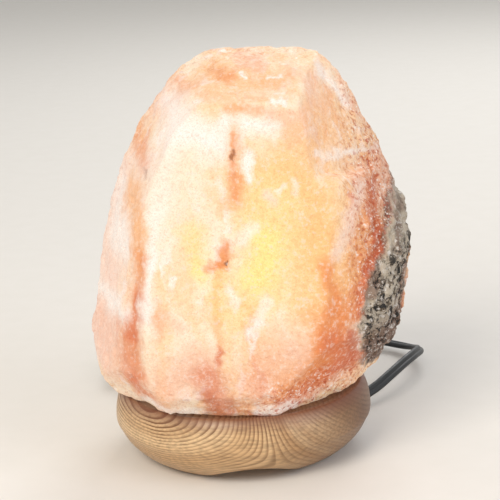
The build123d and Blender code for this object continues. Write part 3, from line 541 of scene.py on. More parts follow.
def makeWood():
    tone = {name: hexColour(woodLook[name]) for name in ("pale", "honey", "line", "blush", "shade")}
    reach = {name: {1: woodLook[name][0] * mm, 2: woodLook[name][1] * mm}
             for name in ("straightens", "fades", "shadedRight", "crisps", "underSaltShadow")}
    material, tree, shader = newMaterial("oiledHardwood", {
        "Specular IOR Level": 0.45, "Coat Weight": 0.1, "Coat Roughness": 0.3,
    })
    where = addNode(tree, "ShaderNodeTexCoord", out=3)
    drift = {"Vector": where, "Scale": scaleFor(woodLook["wanderSize"])[0], "Detail": 3.0}
    drift = addNode(tree, "ShaderNodeTexNoise", drift, 1)
    drift = addNode(tree, "ShaderNodeVectorMath", {0: drift, 1: (0.5, 0.5, 0.5)}, operation="SUBTRACT")
    wander = {0: drift, "Scale": woodLook["wander"] * mm}
    drift = addNode(tree, "ShaderNodeVectorMath", wander, operation="SCALE")
    bent = addNode(tree, "ShaderNodeVectorMath", {0: where, 1: drift}, operation="ADD")
    middle = Vector(woodLook["pith"]) * mm
    pith = addNode(tree, "ShaderNodeVectorMath", {0: bent, 1: middle}, operation="SUBTRACT")
    pith = addNode(tree, "ShaderNodeVectorMath", {0: pith, 1: woodLook["flatten"]}, operation="MULTIPLY")
    ring = addNode(tree, "ShaderNodeVectorMath", {0: pith}, 1, operation="LENGTH")
    # to the right the rings straighten into slanting lines
    slant = addNode(tree, "ShaderNodeVectorMath", {0: bent, 1: woodLook["slope"]}, 1, operation="DOT_PRODUCT")
    slant = addNode(tree, "ShaderNodeMath", {0: slant, 1: woodLook["slopeStart"] * mm}, operation="ADD")
    across, away, up = addNode(tree, "ShaderNodeSeparateXYZ", {0: where}).node.outputs
    toRight = addNode(tree, "ShaderNodeMapRange", {0: across, **reach["straightens"]}, **eased)
    ring = addNode(tree, "ShaderNodeMix", {0: toRight, 2: ring, 3: slant})
    ring = addNode(tree, "ShaderNodeMath", {0: ring, 1: woodLook["ringSpacing"] * mm}, operation="DIVIDE")
    # each year darkens slowly and ends sharply
    year = addNode(tree, "ShaderNodeMath", {0: ring}, operation="FRACT")
    rise = addNode(tree, "ShaderNodeMapRange", {0: year, 1: 0.3, 2: 0.85}, **eased)
    fall = addNode(tree, "ShaderNodeMapRange", {0: year, 1: 1.0, 2: 0.9}, **eased)
    late = addNode(tree, "ShaderNodeMath", {0: rise, 1: fall}, operation="MULTIPLY")
    strength = {"Vector": where, "Scale": scaleFor(woodLook["strengthSize"])[0], "Detail": 2.0}
    strength = addNode(tree, "ShaderNodeTexNoise", strength)
    strength = addNode(tree, "ShaderNodeMapRange", {0: strength, 1: 0.35, 2: 0.65, 3: 0.25, 4: 0.7})
    crisp = addNode(tree, "ShaderNodeMapRange", {0: up, **reach["crisps"], 3: 1.0, 4: 1.6})
    fainter = addNode(tree, "ShaderNodeMapRange", {0: across, **reach["fades"], 3: 1.0, 4: 0.45})
    crisp = addNode(tree, "ShaderNodeMath", {0: crisp, 1: fainter}, operation="MULTIPLY")
    strength = addNode(tree, "ShaderNodeMath", {0: strength, 1: crisp}, operation="MULTIPLY")
    late = addNode(tree, "ShaderNodeMath", {0: late, 1: strength}, operation="MULTIPLY")
    # broad bands of paler and darker wood follow the rings
    wide = addNode(tree, "ShaderNodeMath", {0: ring, 1: woodLook["bandsPerRing"]}, operation="MULTIPLY")
    bands = {"W": wide, "Scale": 1.0, "Detail": 2.0}
    wide = addNode(tree, "ShaderNodeTexNoise", bands, noise_dimensions="1D")
    wide = addNode(tree, "ShaderNodeMapRange", {0: wide, 1: 0.35, 2: 0.62})
    colour = addNode(tree, "ShaderNodeMix", {0: wide, 6: tone["honey"], 7: tone["pale"]}, 2, **colourMix)
    colour = addNode(tree, "ShaderNodeMix", {0: late, 6: colour, 7: tone["line"]}, 2, **colourMix)
    # short pores along the grain
    pores = {"Vector": bent, "Rotation": woodLook["poreTurn"], "Scale": scaleFor(*woodLook["poreSize"])}
    fibre = addNode(tree, "ShaderNodeMapping", pores)
    fibre = addNode(tree, "ShaderNodeTexNoise", {"Vector": fibre, "Scale": 1.0, "Detail": 3.0})
    fleck = addNode(tree, "ShaderNodeMapRange", {0: fibre, 1: 0.35, 2: 0.6, 3: 0.74, 4: 1.04})
    colour = addNode(tree, "ShaderNodeMix", {0: 1.0, 6: colour, 7: fleck}, 2, **tinted)
    # painted shade, darker to the right, and a painted shadow in the gap where the salt sits on it
    toRight = addNode(tree, "ShaderNodeMapRange", {0: across, **reach["shadedRight"], 4: 0.9})
    colour = addNode(tree, "ShaderNodeMix", {0: toRight, 6: colour, 7: tone["shade"]}, 2, **tinted)
    # painted shadow: the wood darkens in the gap just under the salt
    saltShadow = addNode(tree, "ShaderNodeMapRange", {0: up, **reach["underSaltShadow"], 4: 0.8})
    colour = addNode(tree, "ShaderNodeMix", {0: saltShadow, 6: colour, 7: tone["blush"]}, 2, **colourMix)
    tree.links.new(colour, shader.inputs["Base Color"])
    sheen = {0: late, 3: woodLook["roughness"], 4: woodLook["roughness"] + 0.2}
    tree.links.new(addNode(tree, "ShaderNodeMapRange", sheen), shader.inputs["Roughness"])
    height = addNode(tree, "ShaderNodeMath", {0: late, 1: fibre}, operation="ADD")
    bump = addNode(tree, "ShaderNodeBump", {"Height": height, "Strength": 0.4, "Distance": 0.15 * mm})
    tree.links.new(bump, shader.inputs["Normal"])
    return material


coat("wood_base", makeWood())

print("salt crystal: colour")
# Rock salt, hewn and lit from inside: waxy, pale cream where it is clear, apricot to red where iron runs
# through it in upright veins, and grey where clay is trapped at one side.
saltColours = {
    "white": "#fdf6ee", "cream": "#fce7cb", "peach": "#fbd7ac", "blush": "#fadfd0", "rose": "#f3b899",
    "apricot": "#f6bc8a", "gold": "#fac886", "yellow": "#fade9c", "lemon": "#f9e892", "orange": "#e98e50",
    "coral": "#d9734a", "red": "#b94f2c", "rust": "#9a5c34", "umber": "#643a2a", "dusk": "#8e6a57",
    "ash": "#e2d3bd", "clay": "#75634f", "soot": "#1e1b19",
}
# What runs where on the front, in mm: colour, from (across, up), to (across, up), half width, strength, blur.
saltStreaks = [
    # the pale outer left, with its white knots
    ("blush", (-66, 150), (-78, 70), 15, 0.9, 9),
    ("white", (-74, 92), (-58, 93), 5, 0.9, 5),
    ("white", (-59, 127), (-55, 133), 4, 0.8, 5),
    ("rose", (-72, 76), (-66, 58), 9, 0.5, 8),
    ("white", (-57, 152), (-62, 122), 5, 0.7, 6),
    ("blush", (-58, 160), (-44, 166), 6, 0.7, 6),
    # the iron vein down the left
    ("orange", (-48, 179), (-45, 167), 4.5, 0.6, 4),
    ("rose", (-40, 188), (-30, 202), 4, 0.6, 6),
    ("rust", (-43.5, 162), (-43, 161), 1, 0.7, 1.5),
    ("apricot", (-47, 152), (-47, 126), 6.5, 0.9, 5),
    ("orange", (-48, 122), (-50, 104), 4, 0.75, 4),
    ("coral", (-49, 102), (-53, 84), 4, 0.8, 4),
    ("coral", (-55, 82), (-55, 58), 6, 0.65, 6),
    ("coral", (-54, 58), (-51, 48), 5, 0.6, 5),
    # a painted highlight down the bright ridge where the front begins
    ("white", (-28, 190), (-34, 150), 8, 0.85, 8),
    ("white", (-37, 143), (-42, 120), 3.5, 0.9, 4),
    ("white", (-43, 119), (-46, 88), 2.8, 0.85, 3.5),
    ("cream", (-46, 86), (-47, 58), 3.5, 0.8, 4),
    # pale bands across the top of the front
    ("white", (-20, 184), (-4, 176), 9, 0.85, 8),
    ("white", (-2, 186), (22, 183), 4, 0.85, 4),
    ("cream", (-26, 165), (-29, 130), 9, 0.7, 8),
    # where the bulb shines through
    ("gold", (26, 154), (44, 108), 20, 0.9, 14),
    ("yellow", (18, 146), (14, 106), 14, 0.75, 10),
    ("lemon", (14, 128), (12, 112), 6, 0.85, 7),
    ("yellow", (-21, 133), (-19, 122), 5.5, 0.85, 5),
    ("lemon", (-20, 118), (-15, 113), 3, 0.7, 4),
    ("yellow", (-8, 106), (0, 92), 8, 0.55, 7),
    # the crack, its stain and the white seam beside it
    ("apricot", (4, 182), (1, 146), 3.8, 0.6, 4),
    ("orange", (3.4, 180), (2.4, 165), 1.5, 0.6, 1.6),
    ("rust", (2.9, 172), (2.4, 168), 1.1, 0.85, 1),
    ("orange", (1.8, 160), (1, 150), 1.8, 0.6, 2),
    ("white", (10, 172), (8.5, 160), 2.2, 0.95, 2),
    ("white", (23.5, 152), (26, 156), 1.2, 0.6, 1.4),
    ("white", (31.8, 151), (31.4, 158), 1.3, 0.5, 1.6),
    ("blush", (17, 151), (20, 148), 2.6, 0.7, 2.5),
    # the orange spot and the stain below it
    ("orange", (-5.4, 126), (-6, 118.5), 2.4, 0.85, 3),
    ("orange", (-6, 119), (-13, 118), 1.8, 0.75, 2.6),
    ("umber", (-4.5, 119.6), (-4.4, 119.1), 0.7, 0.9, 0.6),
    ("gold", (-7, 115), (-8.5, 103), 2.2, 0.8, 2),
    ("gold", (-8, 98), (-9, 91), 2.6, 0.85, 2.5),
    ("gold", (-2, 98), (3, 98.5), 1.8, 0.8, 1.8),
    ("apricot", (-10, 90), (-11, 78), 1.8, 0.7, 2.5),
    ("coral", (-11, 76), (-12.3, 71), 2, 0.85, 2.2),
    ("white", (-2, 107), (-0.5, 98), 1.8, 0.6, 2.6),
    ("white", (14.5, 99), (10.5, 89), 2.2, 0.6, 3.4),
    ("white", (10.5, 89), (6.5, 82), 1.5, 0.6, 3),
    ("white", (1, 128), (10, 134), 2.5, 0.6, 3),
    # the top
    ("apricot", (-6, 207), (30, 205), 5, 0.65, 6),
    ("orange", (-4, 207), (1, 206), 2.6, 0.6, 3),
    ("rose", (6, 213), (18, 212.5), 2.4, 0.7, 2.4),
    ("apricot", (-14, 199), (20, 198), 1.4, 0.6, 1.5),
    ("orange", (0, 193), (16, 192), 2.2, 0.5, 3),
    ("white", (7.5, 207), (8.5, 206.6), 1, 0.9, 0.9),
    ("white", (21, 207), (28, 207.5), 1, 0.8, 1),
    ("white", (23, 197.5), (29, 197.6), 1.2, 0.9, 1),
    # the upper right, down to its ledge
    ("apricot", (46, 182), (68, 168), 14, 0.45, 8),
    ("white", (46, 208), (62, 187), 2.6, 0.8, 3),
    ("rose", (58, 206), (68, 184), 3.2, 0.5, 3),
    ("white", (44, 169), (61, 163.5), 1.2, 0.6, 1.6),
    ("white", (61, 163.5), (78, 160), 1.4, 0.7, 1.6),
    ("rose", (79, 155), (84, 138), 8, 0.85, 5),
    # the right, redder and grainier as it turns away
    ("orange", (68, 152), (62, 96), 6, 0.7, 7),
    ("red", (72, 146), (71, 133), 3.6, 0.75, 3.5),
    ("blush", (64, 150), (52, 121), 3.5, 0.65, 4),
    ("red", (73, 126), (70, 110), 4.5, 0.9, 3.5),
    ("orange", (47, 114), (50, 96), 4.5, 0.85, 4.5),
    ("coral", (67, 108), (61, 88), 5, 0.85, 4.5),
    ("umber", (85, 147), (79, 130), 1.8, 0.9, 1.8),
    ("umber", (79, 130), (74, 112), 1.3, 0.85, 1.5),
    # the foot
    ("rose", (12, 58), (26, 74), 12, 0.7, 11),
    ("orange", (48, 88), (42, 62), 11, 0.95, 6),
    ("orange", (44, 62), (26, 52), 8, 0.85, 7),
    ("coral", (47, 77), (52, 58), 7, 0.7, 5),
    ("red", (58, 76), (57, 58), 4, 0.75, 4),
    ("coral", (60, 60), (22, 44), 6, 0.7, 5),
    ("rose", (30, 44), (52, 48), 2.4, 0.6, 2.6),
    ("white", (10, 42), (26, 43), 3.4, 0.8, 3),
    ("rose", (-38, 58), (-24, 68), 10, 0.7, 9),
    ("coral", (-17, 62), (-12, 42), 7, 0.7, 6),
    ("red", (-18, 53), (-16, 45), 3.5, 0.45, 3.5),
    ("red", (-7, 51), (-6, 43), 2.6, 0.45, 3),
    ("white", (-46, 44), (-26, 40), 3.4, 0.7, 3),
]
# Where the clay is, seen from the front, in mm: from (across, up), to (across, up), half width.
clayPatches = [
    ((93, 140), (89, 120), 9),
    ((88, 122), (83, 102), 10),
    ((80, 101), (75, 82), 13),
    ((77, 80), (76, 56), 13),
]
saltLook = {
    "unlit": 0.6, "glow": 0.36, "roughness": (0.36, 0.62), "relief": 0.8, "reliefDepth": 0.5,
    # sizes in mm
    "wander": ((26, 7), (8, 3.5), (2.2, 1.6)),  # size and reach of each wave that frays the streaks
    "veinSize": (20, 20, 55), "grainSize": 0.9, "dustSize": 0.8, "mottleSize": 2.6, "facetSize": 2.4,
    "clayBlur": 2.5, "clayDepth": (34, 16), "lumpSize": (6, 6, 9), "fleckSize": 2.6,
    # steps of the veins: from, to, most, colour
    "veinSteps": ((0.38, 0.52, 1.0, "peach"), (0.54, 0.64, 0.8, "apricot"), (0.62, 0.7, 0.9, "coral")),
    # soft clouds over the veins: size, detail, from, to, most
    "clouds": {"white": ((9, 9, 19), 3.0, 0.55, 0.68, 0.75), "rose": ((34, 34, 34), 2.0, 0.52, 0.68, 0.6)},
    # grains: from, to, most, then the share of them where it is smooth and where it is rough, colour
    "grains": ((0.5, 0.36, 0.85, 0.15, 1.0, "red"), (0.52, 0.66, 0.8, 0.6, 0.8, "blush")),
    # places from and to along an axis, in mm
    "backAway": (0, 25), "lowUp": (70, 48), "lowAcross": (-10, 30), "roughAcross": (44, 74),
    "roughAway": (-30, 20), "ashUp": (104, 116), "duskUp": (84, 66), "sootUp": (118, 106),
    "dimAcross": (52, 90),
}


def makeSalt():
    material, tree, shader = newMaterial("hewnRockSalt", {
        "Specular IOR Level": 0.3, "IOR": 1.54, "Emission Strength": 1.0,
    })
    tone = {name: hexColour(text) for name, text in saltColours.items()}
    reach = {name: {1: saltLook[name][0] * mm, 2: saltLook[name][1] * mm}
             for name in saltLook if name.endswith(("Away", "Up", "Across"))}
    soft = {"Scale": 1.0, "Roughness": 0.55}
    sharp = {"Scale": 1.0, "Roughness": 0.7}
    where = addNode(tree, "ShaderNodeTexCoord", out=3)
    across, away, up = addNode(tree, "ShaderNodeSeparateXYZ", {0: where}).node.outputs
    frayed = where
    for size, swing in saltLook["wander"]:
        spread = addNode(tree, "ShaderNodeMapping", {"Vector": where, "Scale": scaleFor(size, size, size)})
        drift = addNode(tree, "ShaderNodeTexNoise", {"Vector": spread, **soft, "Detail": 3.0}, 1)
        drift = addNode(tree, "ShaderNodeVectorMath", {0: drift, 1: (0.5, 0.5, 0.5)}, operation="SUBTRACT")
        drift = addNode(tree, "ShaderNodeVectorMath", {0: drift, "Scale": 2 * swing * mm}, operation="SCALE")
        frayed = addNode(tree, "ShaderNodeVectorMath", {0: frayed, 1: drift}, operation="ADD")

    # upright veins all round, a little stronger behind
    spread = addNode(tree, "ShaderNodeMapping", {"Vector": frayed, "Scale": scaleFor(*saltLook["veinSize"])})
    vein = addNode(tree, "ShaderNodeTexNoise", {"Vector": spread, **soft, "Detail": 4.0})
    side = addNode(tree, "ShaderNodeMapRange", {0: away, **reach["backAway"]}, **easedOpen)
    more = addNode(tree, "ShaderNodeMapRange", {0: away, **reach["backAway"], 4: 0.04}, **easedOpen)
    vein = addNode(tree, "ShaderNodeMath", {0: vein, 1: more}, operation="ADD")
    colour = tone["cream"]
    for low, high, most, name in saltLook["veinSteps"]:
        share = addNode(tree, "ShaderNodeMapRange", {0: vein, 1: low, 2: high, 4: most}, **easedOpen)
        colour = addNode(tree, "ShaderNodeMix", {0: share, 6: colour, 7: tone[name]}, 2, **colourMix)
    clouds = {}
    for name, (size, detail, low, high, most) in saltLook["clouds"].items():
        spread = addNode(tree, "ShaderNodeMapping", {"Vector": frayed, "Scale": scaleFor(*size)})
        clouds[name] = addNode(tree, "ShaderNodeTexNoise", {"Vector": spread, **soft, "Detail": detail})
        share = addNode(tree, "ShaderNodeMapRange", {0: clouds[name], 1: low, 2: high, 4: most}, **easedOpen)
        colour = addNode(tree, "ShaderNodeMix", {0: share, 6: colour, 7: tone[name]}, 2, **colourMix)

    # seen from the front, whatever the depth
    flat = addNode(tree, "ShaderNodeVectorMath", {0: frayed, 1: (1, 0, 1)}, operation="MULTIPLY")

    def gapTo(start, end):  # distance from a line between two points of the front
        first, last = Vector((start[0], 0, start[1])) * mm, Vector((end[0], 0, end[1])) * mm
        run = last - first
        offset = addNode(tree, "ShaderNodeVectorMath", {0: flat, 1: first}, operation="SUBTRACT")
        share = addNode(tree, "ShaderNodeVectorMath", {0: offset, 1: run / run.length_squared}, 1,
                        operation="DOT_PRODUCT")
        share = addNode(tree, "ShaderNodeClamp", {"Value": share})
        foot = addNode(tree, "ShaderNodeVectorMath", {0: run, "Scale": share}, operation="SCALE")
        return addNode(tree, "ShaderNodeVectorMath", {0: offset, 1: foot}, 1, operation="DISTANCE")

    front = colour
    for name, start, end, width, strength, blur in saltStreaks:
        edges = {1: (width + blur) * mm, 2: max(width - blur, 0) * mm}
        share = addNode(tree, "ShaderNodeMapRange", {0: gapTo(start, end), **edges, 4: strength}, **easedOpen)
        front = addNode(tree, "ShaderNodeMix", {0: share, 6: front, 7: tone[name]}, 2, **colourMix)
    colour = addNode(tree, "ShaderNodeMix", {0: side, 6: front, 7: colour}, 2, **colourMix)

    # grains of salt, redder and rougher to the right and low down, with painted glints on some of them
    size = saltLook["dustSize"]
    spread = addNode(tree, "ShaderNodeMapping", {"Vector": where, "Scale": scaleFor(size, size, size)})
    dust = addNode(tree, "ShaderNodeTexNoise", {"Vector": spread, **sharp, "Detail": 2.0})
    size = saltLook["mottleSize"]
    spread = addNode(tree, "ShaderNodeMapping", {"Vector": where, "Scale": scaleFor(size, size, size)})
    mottle = addNode(tree, "ShaderNodeTexNoise", {"Vector": spread, **sharp, "Detail": 4.0})
    cells = {"Vector": where, "Scale": scaleFor(saltLook["grainSize"])[0]}
    pick = addNode(tree, "ShaderNodeTexVoronoi", cells, 1)
    pick = addNode(tree, "ShaderNodeSeparateXYZ", {0: pick}).node.outputs
    lowDown = addNode(tree, "ShaderNodeMapRange", {0: up, **reach["lowUp"]}, **easedOpen)
    right = {0: across, **reach["lowAcross"], 3: 0.25, 4: 0.9}
    right = addNode(tree, "ShaderNodeMapRange", right, **easedOpen)
    lowDown = addNode(tree, "ShaderNodeMath", {0: lowDown, 1: right}, operation="MULTIPLY")
    right = addNode(tree, "ShaderNodeMapRange", {0: across, **reach["roughAcross"]}, **easedOpen)
    rough = addNode(tree, "ShaderNodeMath", {0: right, 1: lowDown}, operation="MAXIMUM")
    behind = addNode(tree, "ShaderNodeMapRange", {0: away, **reach["roughAway"], 4: 0.4}, **easedOpen)
    rough = addNode(tree, "ShaderNodeMath", {0: rough, 1: behind}, operation="MAXIMUM")
    for low, high, most, onSmooth, onRough, name in saltLook["grains"]:
        share = addNode(tree, "ShaderNodeMapRange", {0: mottle, 1: low, 2: high, 4: most}, **easedOpen)
        here = addNode(tree, "ShaderNodeMapRange", {0: rough, 3: onSmooth, 4: onRough}, **easedOpen)
        share = addNode(tree, "ShaderNodeMath", {0: share, 1: here}, operation="MULTIPLY")
        colour = addNode(tree, "ShaderNodeMix", {0: share, 6: colour, 7: tone[name]}, 2, **colourMix)
    # painted glints: white specks on single grains, mostly where it is rough
    paintedGlint = addNode(tree, "ShaderNodeMapRange", {0: pick[1], 1: 0.84, 2: 0.94, 4: 0.8}, **easedOpen)
    here = addNode(tree, "ShaderNodeMapRange", {0: rough, 3: 0.2}, **easedOpen)
    paintedGlint = addNode(tree, "ShaderNodeMath", {0: paintedGlint, 1: here}, operation="MULTIPLY")
    here = addNode(tree, "ShaderNodeMapRange", {0: mottle, 1: 0.44, 2: 0.56, 3: 0.25}, **easedOpen)
    paintedGlint = addNode(tree, "ShaderNodeMath", {0: paintedGlint, 1: here}, operation="MULTIPLY")
    colour = addNode(tree, "ShaderNodeMix", {0: paintedGlint, 6: colour, 7: tone["white"]}, 2, **colourMix)
    share = addNode(tree, "ShaderNodeMapRange", {0: dust, 1: 0.5, 2: 0.3, 4: 0.3}, **easedOpen)
    colour = addNode(tree, "ShaderNodeMix", {0: share, 6: colour, 7: tone["orange"]}, 2, **colourMix)

    # clay trapped in the right side
    edge = addNode(tree, "ShaderNodeSeparateXYZ", {0: frayed}).node.outputs
    blur = saltLook["clayBlur"]
    clay = None
    for start, end, width in clayPatches:
        edges = {1: (width + blur) * mm, 2: (width - blur) * mm}
        patch = addNode(tree, "ShaderNodeMapRange", {0: gapTo(start, end), **edges}, **easedOpen)
        if clay is not None:
            patch = addNode(tree, "ShaderNodeMath", {0: clay, 1: patch}, operation="MAXIMUM")
        clay = patch
    first, last = saltLook["clayDepth"]
    behind = addNode(tree, "ShaderNodeMapRange", {0: edge[1], 1: first * mm, 2: last * mm}, **easedOpen)
    clay = addNode(tree, "ShaderNodeMath", {0: clay, 1: behind}, operation="MULTIPLY")
    spread = addNode(tree, "ShaderNodeMapping", {"Vector": frayed, "Scale": scaleFor(*saltLook["lumpSize"])})
    lump = addNode(tree, "ShaderNodeTexNoise", {"Vector": spread, **sharp, "Detail": 4.0})
    size = saltLook["fleckSize"]
    spread = addNode(tree, "ShaderNodeMapping", {"Vector": where, "Scale": scaleFor(size, size, size)})
    fleck = addNode(tree, "ShaderNodeTexNoise", {"Vector": spread, **sharp, "Roughness": 0.75, "Detail": 4.0})
    stone = tone["clay"]
    for given, name in (
        ({0: lump, 1: 0.44, 2: 0.56}, "ash"),
        ({0: edge[2], **reach["ashUp"], 4: 0.9}, "ash"),
        ({0: edge[2], **reach["duskUp"], 4: 0.85}, "dusk"),
        ({0: clouds["rose"], 1: 0.52, 2: 0.62, 4: 0.7}, "dusk"),
    ):
        share = addNode(tree, "ShaderNodeMapRange", given, **easedOpen)
        stone = addNode(tree, "ShaderNodeMix", {0: share, 6: stone, 7: tone[name]}, 2, **colourMix)
    dark = addNode(tree, "ShaderNodeMath", {0: fleck, 1: lump}, operation="SUBTRACT")
    dark = addNode(tree, "ShaderNodeMapRange", {0: dark, 1: 0.03, 2: 0.1, 4: 0.95}, **easedOpen)
    lower = addNode(tree, "ShaderNodeMapRange", {0: edge[2], **reach["sootUp"], 3: 0.3}, **easedOpen)
    dark = addNode(tree, "ShaderNodeMath", {0: dark, 1: lower}, operation="MULTIPLY")
    stone = addNode(tree, "ShaderNodeMix", {0: dark, 6: stone, 7: tone["soot"]}, 2, **colourMix)
    share = addNode(tree, "ShaderNodeMapRange", {0: fleck, 1: 0.44, 2: 0.37, 4: 0.9}, **easedOpen)
    stone = addNode(tree, "ShaderNodeMix", {0: share, 6: stone, 7: tone["white"]}, 2, **colourMix)
    colour = addNode(tree, "ShaderNodeMix", {0: clay, 6: colour, 7: stone}, 2, **colourMix)

    # part of the colour is lit from outside, the rest glows, less so in the clay and round the right side
    unlit = (saltLook["unlit"],) * 3 + (1.0,)
    base = addNode(tree, "ShaderNodeMix", {0: 1.0, 6: colour, 7: unlit}, 2, **tinted)
    tree.links.new(base, shader.inputs["Base Color"])
    lit = saltLook["glow"]
    inClay = addNode(tree, "ShaderNodeMapRange", {0: clay, 3: 1.0, 4: 0.14}, **easedOpen)
    turned = {0: across, **reach["dimAcross"], 3: 1.0, 4: 0.45}
    turned = addNode(tree, "ShaderNodeMapRange", turned, **easedOpen)
    for share in (inClay, turned):
        lit = addNode(tree, "ShaderNodeMath", {0: lit, 1: share}, operation="MULTIPLY")
    glow = addNode(tree, "ShaderNodeVectorMath", {0: colour, "Scale": lit}, operation="SCALE")
    tree.links.new(glow, shader.inputs["Emission Color"])
    least, most = saltLook["roughness"]
    sheen = addNode(tree, "ShaderNodeMapRange", {0: pick[2], 3: least, 4: most}, **easedOpen)
    tree.links.new(sheen, shader.inputs["Roughness"])
    cells = {"Vector": frayed, "Scale": scaleFor(saltLook["facetSize"])[0]}
    height = addNode(tree, "ShaderNodeTexVoronoi", cells)
    for pattern in (dust, mottle):
        height = addNode(tree, "ShaderNodeMath", {0: height, 1: pattern}, operation="ADD")
    bump = addNode(tree, "ShaderNodeBump", {
        "Height": height, "Strength": saltLook["relief"], "Distance": saltLook["reliefDepth"] * mm,
    })
    tree.links.new(bump, shader.inputs["Normal"])
    return material


rockSalt = makeSalt()

print("salt crystal: surface")
# The block is the model's own, re-cut finely enough to carry chisel dents, chips, flutes and grain.
hewnLook = {
    "proud": 2.2, "waveSize": 42.0, "waveDepth": 2.2, "dentSize": 17.0, "dentDepth": 1.3, "chipSize": 6.5,
    "chipDepth": 1.0, "fluteSize": 8.0, "fluteDepth": 0.6, "grainSize": 3.0, "grainDepth": 0.9,
    "crackDepth": 1.6, "clayDepth": 3.2, "seed": 7.0,
}
recut = {
    "weld": 0.005, "voxel": 1.3, "soften": 5, "softenFactor": 0.5, "scallopPush": 9.0,
    "crackUp": (146, 182), "crackAcross": (1.2, 4),
}
# Parts of the block: how their edges join, then each edge's axis, where it starts and is full, in mm.
hewnZones = {
    "lowRight": ("MULTIPLY", (("across", 28, 42), ("up", 92, 76))),
    "rugged": ("MAXIMUM", (("across", 45, 75), ("across", -44, -56), ("up", 66, 44), ("away", -30, 0))),
    "clay": ("MULTIPLY", (("across", 58, 68), ("up", 46, 62), ("up", 144, 126), ("away", 30, 10))),
    "crack": ("MULTIPLY", (("fromCrack", 2.4, 0.4), ("up", 142, 152), ("up", 184, 176), ("away", -20, -30))),
    "offBore": ("MAXIMUM", (("fromAxis", 28, 34), ("up", 162, 168))),
    "offSole": ("MULTIPLY", (("up", 35.6, 39),)),
}


